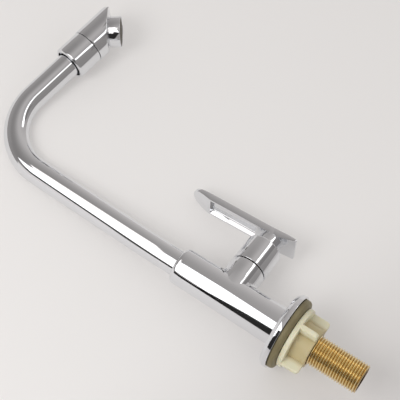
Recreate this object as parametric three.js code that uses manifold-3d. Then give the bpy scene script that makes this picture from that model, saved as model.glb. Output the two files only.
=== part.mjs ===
// A single-inlet kitchen tap with a bent swivel spout, a swivel outlet head and a quarter-turn lever.
// Units are millimetres and +Z is up. The origin is the middle of the deck hole, on the deck's top face.
// +X is the way that the side branch and its lever face.

import * as THREE from "three";
import { mergeVertices } from "three/addons/utils/BufferGeometryUtils.js";
import Module from "manifold-3d";

const wasm = await Module();
wasm.setup();

// Fits and fineness
const fit = 0.3; // clearance between pieces that meet
const overrun = 2; // how far a cutting shape reaches past the face that it cuts
const weld = 1e-4; // vertices nearer than this are one vertex
const outsideFacets = 32;
const insideFacets = 20;
const smallFacets = 16;
const cornerSteps = 2;

// Threaded shank: a half-inch pipe thread
const shankRadius = 10.4775;
const threadPitch = 1.814;
const threadDepth = 1.162;
const threadFacets = 14;
const threadSpareTurns = 2; // of the skin past each end, before it is cut
const shankBoreRadius = 7.5;
const shankBelowDeck = 50.9;
const shankEntry = 12.4; // how much of it is screwed into the body
const shankChamfer = 0.9;
const shankSealThickness = 2;

// Deck gasket
const gasketHeight = 4.2;
const gasketRadius = 24.9;
const gasketEdgeRound = 1.2;
const gasketSpigotRadius = 22.6;
const gasketSpigotHeight = 1.4;
const gasketBoreRadius = 11.6;

// Base flange
const flangeRimRadius = 26.35;
const flangeRimHeight = 0.9;
const flangeTopRadius = 23.9;
const flangeHeight = 5.4;
const flangeTopRound = 0.7;
const flangeTopRoundStart = 20; // degrees, where the cone meets the round
const flangeBoreRadius = 11;
const footSeatDepth = 0.8;

// Mounting nut
const nutDiscRadius = 21;
const nutDiscThickness = 3.4;
const nutHubRadius = 13.5;
const nutHeight = 15.4;
const nutWingCount = 4;
const nutWingThickness = 3.4;
const nutWingInset = 0.3; // how far the wings stay inside the rim of the disc
const nutWingCornerRound = 3.5;
const nutWingTurn = -6; // degrees round +Z, at rest

// Body casting
const bodyFootRadius = 13.5;
const bodyTopRadius = 12.8;
const bodyAboveBranch = 38.8; // from the branch's axis to the top
const bodyTopRound = 3;
const inletBoreRadius = 6;
const inletBoreHeight = 6; // the wide start of the waterway, above the shank seal
const riserBoreRadius = 4.5;
const riserOffset = 5; // away from the branch
const riserAboveBranch = 5;
const outletBoreRadius = 3;
const outletOffset = 6; // towards the branch

// Side branch of the body
const branchHeight = 50;
const branchRadius = 12.8;
const branchReach = 23.7;
const branchMouthRound = 0.5;
const seatReach = 1.5; // the valve seat's face, from the body's axis
const seatHoleRadius = 3.4;
const chamberRadius = 9;
const chamberReach = 13.7;
const threadSocketRadius = 10.2;
const collarSeatRadius = 11.4;
const collarSeatDepth = 1.5;

// Headwork in the branch
const discRadius = 6.6;
const discThickness = 2.2;
const seatSealThickness = 1.6;
const portInnerRadius = 1.8;
const portOuterRadius = 5.2;
const portSpan = 76; // degrees
const portSteps = 5;
const cageWall = 1.1;
const windowLength = 2.7;
const windowWidth = 7;
const bonnetHexAcross = 17;
const bonnetHexLength = 5.5;
const bonnetNeckRadius = 6.2;
const bonnetNeckShare = 0.47; // of the way from the hexagon to the spindle's end
const bonnetGrooveLength = 2.2;
const bonnetGrooveDepth = 1.7;
const bonnetGrooveFromCollar = 1.4;
const spindleRadius = 4.2;
const spindleBaseThickness = 1.6;
const driveTabLength = 8;
const driveTabWidth = 1.8;
const driveTabHeight = 1.2;
const spindleGrooveDepth = 1.2;
const spindleGrooveLength = 2;
const spindleGrooveFromNeckEnd = 4;
const clipThickness = 0.8;
const clipOuterRadius = 6;
const clipGrooveDepth = 1;
const clipGap = 40; // degrees
const splineTeeth = 12;
const splineRootRadius = 3.6;
const splineTipRadius = 4.1;

// Lever handle: hub, neck and blade
const leverTurn = -4; // degrees round +X, at rest
const ringGap = 0.9; // the dark line between the branch and the hub
const hubRadius = 12.7;
const hubShoulderRound = 1.6;
const hubMouthRound = 0.5;
const hubWall = 2.4;
const neckRadius = 8.2;
const neckLength = 7.7; // from the hub's shoulder to the blade
const bladeReach = 53.3; // the blade's inner face, from the body's axis
const bladeThickness = 5;
const bladeCrown = 0.6; // how far the middle of the outer face stands out
const bladeHalfWidth = 7.85;
const bladeFlareHalfWidth = 10.1; // at the square lower end
const bladeFlareStart = 10; // above the hub's axis
const bladeEndDrop = 27.3; // from the start of the flare down to the square end
const bladeEndBend = 1.8; // how far the outer face curves in at the square end
const bladeEndThickness = 1.2;
const bladeWedgeLength = 12.3;
const bladeCornerRound = 1.4;
const bladeLength = 64.9; // from the hub's axis up to the tip
const bladeTipLength = 15;
const bladeTipThickness = 1.5;
const bladeTipPower = 2.5; // of the superellipse that rounds the tip
const bladeTipAngles = [0, 14, 30, 46, 62, 76, 86]; // degrees round the tip
const bladeFlareSteps = 3;
const pocketDepth = 3.8;
const pocketBorder = 1;
const pocketSideDraft = 0.6;
const pocketEndDraft = 1.4;
const pocketCornerRound = 1;
const pocketStart = 12.3; // above the hub's axis
const pocketLength = 37.2;
const handleScrewRadius = 2;
const handleScrewHeadRadius = 3.6;
const handleScrewHeadHeight = 2.5;
const handleScrewEndRoom = 2.8; // past its tip, in the spindle
const handleScrewSocketAcross = 2.5;
const handleScrewSocketDepth = 1.4;
const handleWeb = 2.5;
const screwPlugThickness = 4.4;

// Spout
const spoutTurn = -13.4; // degrees round +Z, at rest
const tubeRadius = 9;
const tubeWall = 1;
const spoutSocketFloorWall = 3.8; // between the branch's socket and the spout's
const spoutWaterwayRadius = 5.5;
const glideRingThickness = 1.5;
const glideRingInnerRadius = 6.2;
const tailShoulderDepth = 6.5; // below the body's top, where the tube stands on its tail
const tailSpigotLength = 8;
const oringSection = 1.6;
const oringGrooveSlack = 0.6;
const tailGrooveShares = [0.1, 0.37]; // of the tail's length, from its bottom to its shoulder
const tailSnapShare = 0.72;
const snapRingThickness = 1;
const snapRingInnerRadius = 8.2;
const snapRingOuterRadius = 10.3;
const snapRingGap = 24; // degrees
const snapGrooveSlack = 0.5;
const riseStraight = 16; // upright stretch of the tube, from its lower end
const leanAngle = 1.32; // degrees
const leanRadius = 1300;
const riseToBend = 208.7; // height where the main bend starts
const bendRadius = 40;
const bendAngle = 96.3; // degrees
const bendSteps = 10;
const leanSteps = 2;

// Outlet head, measured along the tube from the end of the main bend
const sleeveStart = 35.7;
const sleeveLength = 19.3;
const sleeveRadius = 12.9;
const sleeveLipRound = 1.2;
const sleeveMouthRadius = 10.8;
const sleeveMouthDepth = 2;
const tubeGrip = 6.6; // how much of the tube is inside the sleeve, above its mouth
const sleeveStopThickness = 1.7;
const sleeveStopRadius = 7;
const seamGap = 0.4;
const headRadius = 13.25;
const headSeamRound = 0.4;
const stemBoreRadius = 6;
const stemGrooveFromEnd = 1.4;
const stemSnapFromSeam = 2;
const mitreOnAxis = 22.8; // from the seam to where the slanted face crosses the axis
const mitreAngle = 48.5; // degrees between the face's normal and the tube
const headTipReach = 18.6; // from the nozzle's axis to the rounded tip
const headTipTrimDepth = 10;
const headBoreDepth = 15;

// Nozzle and aerator, square to the slanted face
const nozzleOffset = 4.6; // towards the short side of the head
const nozzleRadius = 11.35;
const nozzleLength = 8.9;
const nozzleWall = 0.95;
const nozzleRimRound = 0.35;
const nozzleNeckRadius = 8.5;
const nozzleNeckLength = 5;
const nozzleBoreRadius = 6.5;
const nozzleChamberFromFace = 2;
const headNozzleBoreDepth = 11;
const headNozzleInnerRadius = 7;
const aeratorWasherThickness = 1.2;
const aeratorInsertThickness = 2.5;
const screenThickness = 1.2;
const insertHoleCount = 8;
const insertHoleRadius = 1.5;
const insertHoleFacets = 8;
const screenHoleRadius = 1.1;
const screenHolePitch = 4;
const screenHoleFacets = 6;

// Heights and reaches worked out from the sizes above
const flangeBottom = gasketHeight + fit;
const flangeTop = flangeBottom + flangeHeight;
const footSeat = flangeTop - footSeatDepth;
const bodyBottom = footSeat + fit;
const shankTop = bodyBottom + shankEntry;
const shankSealTop = shankTop + fit + shankSealThickness;
const shankSocketTop = shankSealTop + fit;
const bodyTopHeight = branchHeight + bodyAboveBranch;
const spoutSocketFloor = branchHeight + threadSocketRadius + spoutSocketFloorWall;
const spoutSocketRadius = tubeRadius + fit + weld;
const tubeBoreRadius = tubeRadius - tubeWall;
const grooveRadius = tubeRadius - oringSection;
const snapSocketRadius = snapRingOuterRadius + fit;
const snapGrooveRadius = snapRingInnerRadius - fit;
const snapGrooveLength = snapRingThickness + snapGrooveSlack + fit;
const oringGrooveLength = oringSection + oringGrooveSlack;
const hubStart = branchReach + ringGap;
const hubReach = bladeReach - neckLength;
const bladeTop = bladeReach + bladeThickness + bladeCrown;
const screwPlugStart = bladeTop - screwPlugThickness;
const screwSeat = screwPlugStart - handleScrewHeadHeight - 2 * fit;
const spindleEnd = screwSeat - handleWeb - fit;
const deg = Math.PI / 180;

// Building blocks

function finish(color, metalness, roughness) {
  return new THREE.MeshStandardMaterial({ color, metalness, roughness });
}

const finishes = {
  chrome: () => finish(0xd9dbde, 1, 0.07),
  brass: () => finish(0xb99545, 1, 0.3),
  steel: () => finish(0xb4b6b8, 1, 0.3),
  nylon: () => finish(0xe9e2cd, 0, 0.5),
  oliveRubber: () => finish(0x77785f, 0, 0.8),
  blackRubber: () => finish(0x222222, 0, 0.8),
  ceramic: () => finish(0xf2f0ea, 0, 0.25),
  plastic: () => finish(0xdfe2e0, 0, 0.45),
  screenPlastic: () => finish(0x6d665c, 0.2, 0.6),
};

// A named mesh, added to the group that places it.
function piece(group, name, geometry, finishName) {
  const mesh = new THREE.Mesh(geometry, finishes[finishName]());
  mesh.name = name;
  group.add(mesh);
}

// A three.js geometry as a solid that can be joined and cut.
function solid(geometry) {
  const bare = new THREE.BufferGeometry();
  bare.setAttribute("position", geometry.getAttribute("position"));
  bare.setIndex(geometry.getIndex());
  const merged = mergeVertices(bare, weld);
  return new wasm.Manifold(
    new wasm.Mesh({
      numProp: 3,
      vertProperties: merged.getAttribute("position").array,
      triVerts: new Uint32Array(merged.getIndex().array),
    }),
  );
}

// A solid as a geometry with flat faces.
function faceted(shape) {
  const mesh = shape.getMesh();
  const indexed = new THREE.BufferGeometry();
  indexed.setAttribute("position", new THREE.BufferAttribute(mesh.vertProperties, mesh.numProp));
  indexed.setIndex(new THREE.BufferAttribute(mesh.triVerts, 1));
  const flat = indexed.toNonIndexed();
  flat.computeVertexNormals();
  return flat;
}

// The first solid joined with the others, or cut by them.
function join(first, ...others) {
  return others.reduce((whole, other) => whole.add(other), first);
}

function cut(first, ...others) {
  return others.reduce((whole, other) => whole.subtract(other), first);
}

// Points on an arc, as [across, along] pairs.
function arc(across, along, radius, fromAngle, toAngle, steps = cornerSteps) {
  return Array.from({ length: steps + 1 }, (_, i) => {
    const angle = (fromAngle + ((toAngle - fromAngle) * i) / steps) * deg;
    return [across + radius * Math.cos(angle), along + radius * Math.sin(angle)];
  });
}

// A turning about Z. The outline is [radius, height] points, up the outside and down the inside, or from axis
// to axis.
function turning(outline, facets) {
  const points = outline.map(([radius, height]) => new THREE.Vector2(radius, height));
  const onAxis = outline[0][0] === 0;
  if (!onAxis) points.push(points[0].clone());
  return new THREE.LatheGeometry(points, facets).rotateX(Math.PI / 2);
}

// A plain rod or ring about Z.
function rod(radius, bottom, top, facets) {
  return turning([[0, bottom], [radius, bottom], [radius, top], [0, top]], facets);
}

function ring(innerRadius, outerRadius, bottom, top, facets) {
  const outline = [[innerRadius, bottom], [outerRadius, bottom], [outerRadius, top], [innerRadius, top]];
  return turning(outline, facets);
}

// A rubber ring of round section about Z.
function oring(innerRadius, outerRadius, middleHeight) {
  const section = (outerRadius - innerRadius) / 2;
  const sides = 6;
  const outline = arc(innerRadius + section, middleHeight, section, 0, 360 - 360 / sides, sides - 1);
  return turning(outline, smallFacets);
}

// A flat ring with a gap in it, open towards +X.
function splitRing(innerRadius, outerRadius, bottom, thickness, gap) {
  const shape = new THREE.Shape();
  shape.absarc(0, 0, outerRadius, (gap / 2) * deg, (360 - gap / 2) * deg, false);
  shape.absarc(0, 0, innerRadius, (360 - gap / 2) * deg, (gap / 2) * deg, true);
  return prism(shape, bottom, thickness, smallFacets / 2);
}

// An upright prism of a flat shape.
function prism(shape, bottom, height, curveSegments = cornerSteps) {
  const geometry = new THREE.ExtrudeGeometry(shape, { depth: height, bevelEnabled: false, curveSegments });
  return geometry.translate(0, 0, bottom);
}

function polygon(points) {
  return new THREE.Shape(points.map(([x, y]) => new THREE.Vector2(x, y)));
}

// A regular polygon, given the distance across its flats.
function acrossFlats(sides, across, turn = 0) {
  const radius = across / 2 / Math.cos(Math.PI / sides);
  return polygon(arc(0, 0, radius, turn, turn + 360 - 360 / sides, sides - 1));
}

function box(sizeX, sizeY, sizeZ, x, y, z) {
  return new THREE.BoxGeometry(sizeX, sizeY, sizeZ).translate(x, y, z);
}

// A skin through equal rings of points, closed by a flat cap at each end.
function loft(rings) {
  const count = rings[0].length;
  const positions = rings.flat().flatMap((point) => [point.x, point.y, point.z]);
  const faces = [];
  for (let level = 0; level + 1 < rings.length; level += 1) {
    for (let i = 0; i < count; i += 1) {
      const a = level * count + i;
      const b = level * count + ((i + 1) % count);
      faces.push(a, b, b + count, a, b + count, a + count);
    }
  }
  const last = (rings.length - 1) * count;
  for (let i = 1; i + 1 < count; i += 1) {
    faces.push(0, i + 1, i);
    faces.push(last, last + i, last + i + 1);
  }
  const geometry = new THREE.BufferGeometry();
  geometry.setAttribute("position", new THREE.Float32BufferAttribute(positions, 3));
  geometry.setIndex(faces);
  return geometry;
}

// A route of stations, each with a point and a direction, for a tube to follow.
class Route extends THREE.Curve {
  constructor(stations) {
    super();
    this.stations = stations;
  }
  getUtoTmapping(u) {
    return u;
  }
  station(t) {
    return this.stations[Math.round(t * (this.stations.length - 1))];
  }
  getPoint(t, target = new THREE.Vector3()) {
    return target.copy(this.station(t).point);
  }
  getTangent(t, target = new THREE.Vector3()) {
    return target.copy(this.station(t).direction);
  }
}

// Stations in the XZ plane from runs of { length, turn, steps }, starting upright.
function stationsOf(startHeight, runs) {
  let lean = 0;
  let point = new THREE.Vector3(0, 0, startHeight);
  const directionAt = (angle) => new THREE.Vector3(Math.sin(angle), 0, Math.cos(angle));
  const stations = [{ point, direction: directionAt(lean) }];
  for (const { length, turn, steps } of runs) {
    const stepTurn = (turn * deg) / steps;
    const chord = turn === 0 ? length / steps : ((2 * length) / (turn * deg)) * Math.sin(stepTurn / 2);
    for (let i = 0; i < steps; i += 1) {
      point = point.clone().addScaledVector(directionAt(lean + stepTurn / 2), chord);
      lean += stepTurn;
      stations.push({ point, direction: directionAt(lean) });
    }
  }
  return { stations, lean, end: point };
}

// Foot of the tap

function baseGasket() {
  const outline = [
    [gasketBoreRadius, 0],
    ...arc(gasketRadius - gasketEdgeRound, gasketEdgeRound, gasketEdgeRound, -90, 0),
    ...arc(gasketRadius - gasketEdgeRound, gasketHeight - gasketEdgeRound, gasketEdgeRound, 0, 90),
    [gasketSpigotRadius, gasketHeight],
    [gasketSpigotRadius, gasketHeight + gasketSpigotHeight],
    [gasketBoreRadius, gasketHeight + gasketSpigotHeight],
  ];
  return turning(outline, outsideFacets);
}

function baseFlange() {
  const recessRadius = gasketSpigotRadius + fit;
  const recessTop = gasketHeight + gasketSpigotHeight + fit;
  const seatRadius = bodyFootRadius + fit;
  const roundMiddle = flangeTopRadius - flangeTopRound;
  const outline = [
    [flangeBoreRadius, recessTop],
    [recessRadius, recessTop],
    [recessRadius, flangeBottom],
    [flangeRimRadius, flangeBottom],
    [flangeRimRadius, flangeBottom + flangeRimHeight],
    ...arc(roundMiddle, flangeTop - flangeTopRound, flangeTopRound, flangeTopRoundStart, 90),
    [seatRadius, flangeTop],
    [seatRadius, footSeat],
    [flangeBoreRadius, footSeat],
  ];
  return turning(outline, outsideFacets);
}

// The thread as rows of vertices that climb one pitch in each turn, by turns at its root and its crest.
function threadSkin(bottom, top) {
  const rows = 2 * (Math.ceil((top - bottom) / threadPitch) + 2 * threadSpareTurns);
  const start = bottom - threadSpareTurns * threadPitch;
  const positions = [];
  for (let row = 0; row <= rows; row += 1) {
    const radius = row % 2 === 0 ? shankRadius - threadDepth : shankRadius;
    for (let facet = 0; facet < threadFacets; facet += 1) {
      const turn = facet / threadFacets;
      const angle = turn * 2 * Math.PI;
      const height = start + threadPitch * (row / 2 + turn);
      positions.push(radius * Math.cos(angle), radius * Math.sin(angle), height);
    }
  }
  const vertex = (row, facet) =>
    facet < threadFacets ? row * threadFacets + facet : (row + 2) * threadFacets;
  const faces = [];
  for (let facet = 0; facet < threadFacets; facet += 1) {
    const lastRow = facet + 1 < threadFacets ? rows : rows - 2;
    for (let row = 0; row < lastRow; row += 1) {
      const a = vertex(row, facet);
      const b = vertex(row, facet + 1);
      const c = vertex(row + 1, facet + 1);
      const d = vertex(row + 1, facet);
      faces.push(a, b, c, a, c, d);
    }
  }
  const lowHub = positions.length / 3;
  positions.push(0, 0, start);
  const highHub = positions.length / 3;
  positions.push(0, 0, start + threadPitch * (rows / 2));
  const lowRim = Array.from({ length: threadFacets }, (_, facet) => vertex(0, facet));
  lowRim.push(vertex(2, 0), vertex(1, 0));
  const highRim = Array.from({ length: threadFacets }, (_, facet) => vertex(rows, facet));
  highRim.push(vertex(rows - 1, threadFacets - 1), vertex(rows - 2, threadFacets - 1));
  lowRim.forEach((from, i) => faces.push(lowHub, lowRim[(i + 1) % lowRim.length], from));
  highRim.forEach((from, i) => faces.push(highHub, from, highRim[(i + 1) % highRim.length]));
  const geometry = new THREE.BufferGeometry();
  geometry.setAttribute("position", new THREE.Float32BufferAttribute(positions, 3));
  geometry.setIndex(faces);
  return geometry;
}

function inletShank() {
  const bottom = -shankBelowDeck;
  const envelope = [
    [shankBoreRadius, bottom],
    [shankRadius - shankChamfer, bottom],
    [shankRadius + overrun, bottom + shankChamfer + overrun],
    [shankRadius + overrun, 0],
    [shankBoreRadius, 0],
  ];
  const thread = solid(threadSkin(bottom, 0)).intersect(solid(turning(envelope, insideFacets)));
  const plain = ring(shankBoreRadius, shankRadius, -fit, shankTop, insideFacets);
  return faceted(join(thread, solid(plain)));
}

function mountingNut() {
  const top = -fit;
  const bottom = top - nutHeight;
  const discBottom = top - nutDiscThickness;
  const wingReach = nutDiscRadius - nutWingInset;
  const wingRoot = shankRadius + nutWingThickness / 2;
  const wing = polygon([
    [wingRoot, discBottom + nutWingInset],
    [wingRoot, bottom],
    ...arc(wingReach - nutWingCornerRound, bottom + nutWingCornerRound, nutWingCornerRound, -90, 0),
    [wingReach, discBottom + nutWingInset],
  ]);
  let nut = solid(rod(nutDiscRadius, discBottom, top, outsideFacets));
  nut = join(nut, solid(rod(nutHubRadius, bottom, top - fit, insideFacets)));
  for (let i = 0; i < nutWingCount; i += 1) {
    const blade = prism(wing, -nutWingThickness / 2, nutWingThickness).rotateX(Math.PI / 2);
    nut = join(nut, solid(blade.rotateZ((i * 2 * Math.PI) / nutWingCount)));
  }
  const bore = rod(shankRadius + fit, bottom - overrun, top + overrun, insideFacets);
  return faceted(cut(nut, solid(bore)));
}

// Body

function alongBranch(geometry) {
  return geometry.rotateY(Math.PI / 2).translate(0, 0, branchHeight);
}

function bodyCasting() {
  const column = [
    [0, bodyBottom],
    [bodyFootRadius, bodyBottom],
    ...arc(bodyTopRadius - bodyTopRound, bodyTopHeight - bodyTopRound, bodyTopRound, 0, 90),
    [0, bodyTopHeight],
  ];
  const arm = [
    [0, 0],
    [branchRadius, 0],
    ...arc(branchRadius - branchMouthRound, branchReach - branchMouthRound, branchMouthRound, 0, 90, 1),
    [0, branchReach],
  ];
  const shankSocket = rod(shankRadius + fit, bodyBottom - overrun, shankSocketTop, insideFacets);
  const inlet = rod(inletBoreRadius, shankTop, shankSocketTop + inletBoreHeight, smallFacets);
  const riserBottom = shankSocketTop + inletBoreHeight / 2;
  const riser = rod(riserBoreRadius, riserBottom, branchHeight + riserAboveBranch, smallFacets);
  const outlet = rod(outletBoreRadius, branchHeight, spoutSocketFloor + overrun, smallFacets);
  const seatHole = rod(seatHoleRadius, -riserOffset, seatReach + overrun, smallFacets);
  const collarSeat = branchReach - collarSeatDepth;
  const headworkHole = [
    [0, seatReach],
    [chamberRadius, seatReach],
    [chamberRadius, chamberReach],
    [threadSocketRadius, chamberReach],
    [threadSocketRadius, collarSeat],
    [collarSeatRadius, collarSeat],
    [collarSeatRadius, branchReach + overrun],
    [0, branchReach + overrun],
  ];
  const snapFloor = snapRingFloor - snapGrooveSlack / 2;
  const snapTop = snapFloor + snapGrooveLength;
  const socketTop = bodyTopHeight + overrun;
  const spoutSocket = [
    [0, spoutSocketFloor],
    [spoutSocketRadius, spoutSocketFloor],
    [spoutSocketRadius, snapFloor],
    [snapSocketRadius, snapFloor],
    [snapSocketRadius, snapTop],
    [spoutSocketRadius, snapTop],
    [spoutSocketRadius, socketTop],
    [0, socketTop],
  ];
  const outside = join(
    solid(turning(column, outsideFacets)),
    solid(alongBranch(turning(arm, outsideFacets))),
  );
  return faceted(
    cut(
      outside,
      solid(shankSocket),
      solid(inlet),
      solid(riser.translate(-riserOffset, 0, 0)),
      solid(outlet.translate(outletOffset, 0, 0)),
      solid(alongBranch(seatHole)),
      solid(alongBranch(turning(headworkHole, insideFacets))),
      solid(turning(spoutSocket, insideFacets)),
    ),
  );
}

// Headwork: heights here are distances from the body's axis along the branch

const sealStart = seatReach + fit;
const fixedDiscStart = sealStart + seatSealThickness + fit;
const movingDiscStart = fixedDiscStart + discThickness + fit;
const spindleBaseStart = movingDiscStart + discThickness + fit;
const cageStart = seatReach + 2 * fit;
const cageInnerEnd = chamberReach - fit;
const bonnetThreadStart = chamberReach + fit;
const collarStart = branchReach - collarSeatDepth + fit;
const collarEnd = branchReach + fit;
const neckStart = collarEnd + bonnetHexLength;
const neckEnd = neckStart + bonnetNeckShare * (spindleEnd - neckStart);
const clipStart = neckEnd + fit;
const splineStart = clipStart + clipThickness + fit;

// The two water ports of a disc, as holes in a flat shape.
function portHoles() {
  return [90, 270].map((middle) => {
    const from = middle - portSpan / 2;
    const to = middle + portSpan / 2;
    const outer = arc(0, 0, portOuterRadius, from, to, portSteps);
    const inner = arc(0, 0, portInnerRadius, to, from, portSteps);
    return polygon([...outer, ...inner]);
  });
}

function portedDisc(radius, bottom, thickness) {
  const shape = new THREE.Shape();
  shape.absarc(0, 0, radius, 0, 2 * Math.PI, false);
  shape.holes = portHoles();
  return prism(shape, bottom, thickness, insideFacets / 2);
}

function movingDisc() {
  const slotDepth = driveTabHeight + fit;
  const slotTop = movingDiscStart + discThickness;
  const slot = box(
    driveTabLength + 2 * fit,
    driveTabWidth + 2 * fit,
    2 * slotDepth,
    0,
    0,
    slotTop,
  );
  return faceted(cut(solid(portedDisc(discRadius, movingDiscStart, discThickness)), solid(slot)));
}

function headworkBonnet() {
  const cageInnerRadius = discRadius + fit;
  const cageOuterRadius = cageInnerRadius + cageWall;
  const threadRadius = threadSocketRadius - fit;
  const collarRadius = collarSeatRadius - fit;
  const stemHole = spindleRadius + fit;
  const grooveEnd = collarStart - bonnetGrooveFromCollar;
  const grooveStart = grooveEnd - bonnetGrooveLength;
  const outline = [
    [cageInnerRadius, cageStart],
    [cageOuterRadius, cageStart],
    [cageOuterRadius, bonnetThreadStart],
    [threadRadius, bonnetThreadStart],
    [threadRadius, grooveStart],
    [threadRadius - bonnetGrooveDepth, grooveStart],
    [threadRadius - bonnetGrooveDepth, grooveEnd],
    [threadRadius, grooveEnd],
    [threadRadius, collarStart],
    [collarRadius, collarStart],
    [collarRadius, collarEnd],
    [bonnetNeckRadius, collarEnd],
    [bonnetNeckRadius, neckEnd],
    [stemHole, neckEnd],
    [stemHole, cageInnerEnd],
    [cageInnerRadius, cageInnerEnd],
  ];
  const hexStart = collarEnd - collarSeatDepth / 2;
  const hexagon = prism(acrossFlats(6, bonnetHexAcross), hexStart, neckStart - hexStart);
  const stemBore = rod(stemHole, hexStart - overrun, neckEnd + overrun, insideFacets);
  const windows = box(
    windowWidth,
    2 * (cageOuterRadius + overrun),
    windowLength,
    0,
    0,
    cageInnerEnd - windowLength / 2,
  );
  const turned = solid(turning(outline, insideFacets));
  return faceted(cut(join(turned, cut(solid(hexagon), solid(stemBore))), solid(windows)));
}

function star(teeth, rootRadius, tipRadius) {
  const points = [];
  for (let i = 0; i < 2 * teeth; i += 1) {
    const radius = i % 2 === 0 ? tipRadius : rootRadius;
    const angle = (i * Math.PI) / teeth;
    points.push([radius * Math.cos(angle), radius * Math.sin(angle)]);
  }
  return polygon(points);
}

function spindle() {
  const grooveEnd = neckEnd - spindleGrooveFromNeckEnd;
  const grooveStart = grooveEnd - spindleGrooveLength;
  const clipGrooveStart = clipStart - fit / 2;
  const shaftStart = spindleBaseStart + spindleBaseThickness / 2;
  const shaft = [
    [0, shaftStart],
    [spindleRadius, shaftStart],
    [spindleRadius, grooveStart],
    [spindleRadius - spindleGrooveDepth, grooveStart],
    [spindleRadius - spindleGrooveDepth, grooveEnd],
    [spindleRadius, grooveEnd],
    [spindleRadius, clipGrooveStart],
    [spindleRadius - clipGrooveDepth, clipGrooveStart],
    [spindleRadius - clipGrooveDepth, splineStart],
    [0, splineStart],
  ];
  const base = portedDisc(discRadius, spindleBaseStart, spindleBaseThickness);
  const tabHeight = driveTabHeight + fit + spindleBaseThickness / 2;
  const tabMiddle = spindleBaseStart + spindleBaseThickness / 2 - tabHeight / 2;
  const tab = box(driveTabLength, driveTabWidth, tabHeight, 0, 0, tabMiddle);
  const splines = prism(
    star(splineTeeth, splineRootRadius, splineTipRadius),
    splineStart - fit / 3,
    spindleEnd - splineStart + fit / 3,
  );
  const screwHole = rod(handleScrewRadius + fit, splineStart, spindleEnd + overrun, smallFacets);
  return faceted(
    cut(
      join(solid(base), solid(tab), solid(turning(shaft, smallFacets)), solid(splines)),
      solid(screwHole),
    ),
  );
}

// Lever handle. In this group +Z runs along the branch, so the blade's tip points to -X.

// A cross-section of the blade, from its width and the reach of its two faces.
function bladeRing(height, halfWidth, innerReach, outerReach) {
  const crown = (share) => outerReach + bladeCrown * (1 - share * share);
  const point = (across, reach) => new THREE.Vector3(-height, across, reach);
  const outerShares = [-1, -0.5, 0, 0.5, 1];
  return [
    point(halfWidth, innerReach),
    point(-halfWidth, innerReach),
    ...outerShares.map((share) => point(share * halfWidth, crown(share))),
  ];
}

// The flared lower end: wider and thinner towards the square end.
function flareRing(drop, cornerInset) {
  const share = drop / bladeEndDrop;
  const height = bladeFlareStart - drop;
  const halfWidth = bladeHalfWidth + (bladeFlareHalfWidth - bladeHalfWidth) * share * share;
  const outerReach = bladeReach + bladeThickness - bladeEndBend * share * share;
  const endInner = bladeReach + bladeThickness - bladeEndBend - bladeEndThickness;
  const wedgeShare = Math.max(0, (drop - bladeEndDrop + bladeWedgeLength) / bladeWedgeLength);
  const innerReach = bladeReach + (endInner - bladeReach) * wedgeShare;
  return bladeRing(height, halfWidth - cornerInset, innerReach, outerReach);
}

function bladeSolid() {
  const rings = [
    flareRing(bladeEndDrop, bladeCornerRound),
    flareRing(bladeEndDrop - bladeCornerRound / 4, bladeCornerRound / 4),
    flareRing(bladeEndDrop - bladeCornerRound, 0),
  ];
  for (let i = bladeFlareSteps; i >= 0; i -= 1) {
    rings.push(flareRing(((bladeEndDrop - bladeWedgeLength) * (i + 1)) / (bladeFlareSteps + 1), 0));
  }
  const power = 2 / bladeTipPower;
  for (const angle of bladeTipAngles) {
    const lengthShare = Math.sin(angle * deg) ** power;
    const widthShare = Math.cos(angle * deg) ** power;
    const height = bladeLength - bladeTipLength * (1 - lengthShare);
    const innerReach = bladeReach + (bladeThickness - bladeTipThickness) * lengthShare;
    const outerReach = bladeReach + bladeThickness;
    rings.push(bladeRing(height, bladeHalfWidth * widthShare, innerReach, outerReach));
  }
  return solid(loft(rings));
}

// The long pocket in the inner face, with drafted walls.
function pocketSolid() {
  const level = (depth) => {
    const share = depth / pocketDepth;
    const half = bladeHalfWidth - pocketBorder - pocketSideDraft * share;
    const start = pocketStart + pocketEndDraft * share;
    const end = pocketStart + pocketLength - pocketEndDraft * share;
    const corner = pocketCornerRound;
    const outline = [
      [start, half - corner],
      [start + corner, half],
      [end - corner, half],
      [end, half - corner],
    ];
    const otherSide = outline.map(([height, across]) => [height, -across]).reverse();
    return [...outline, ...otherSide].map(
      ([height, across]) => new THREE.Vector3(-height, across, bladeReach + depth),
    );
  };
  return solid(loft([level(-fit), level(pocketDepth)]));
}

function handleLever() {
  const skirtRadius = hubRadius - hubWall;
  const skirtEnd = splineStart;
  const hub = [
    [0, hubStart],
    ...arc(hubRadius - hubMouthRound, hubStart + hubMouthRound, hubMouthRound, -90, 0, 1),
    ...arc(hubRadius - hubShoulderRound, hubReach - hubShoulderRound, hubShoulderRound, 0, 90),
    [neckRadius, hubReach],
    [neckRadius, bladeReach + fit],
    [0, bladeReach + fit],
  ];
  const skirt = rod(skirtRadius, hubStart - overrun, skirtEnd, insideFacets);
  const splineHole = prism(
    star(splineTeeth, splineRootRadius + fit, splineTipRadius + fit),
    skirtEnd - overrun,
    spindleEnd + fit - skirtEnd + overrun,
  );
  const screwHole = rod(handleScrewRadius + fit, spindleEnd, screwSeat + overrun, smallFacets);
  const headHole = rod(handleScrewHeadRadius + fit, screwSeat, bladeTop + overrun, smallFacets);
  const body = join(bladeSolid(), solid(turning(hub, outsideFacets)));
  return faceted(
    cut(body, solid(skirt), solid(splineHole), solid(screwHole), solid(headHole), pocketSolid()),
  );
}

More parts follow.
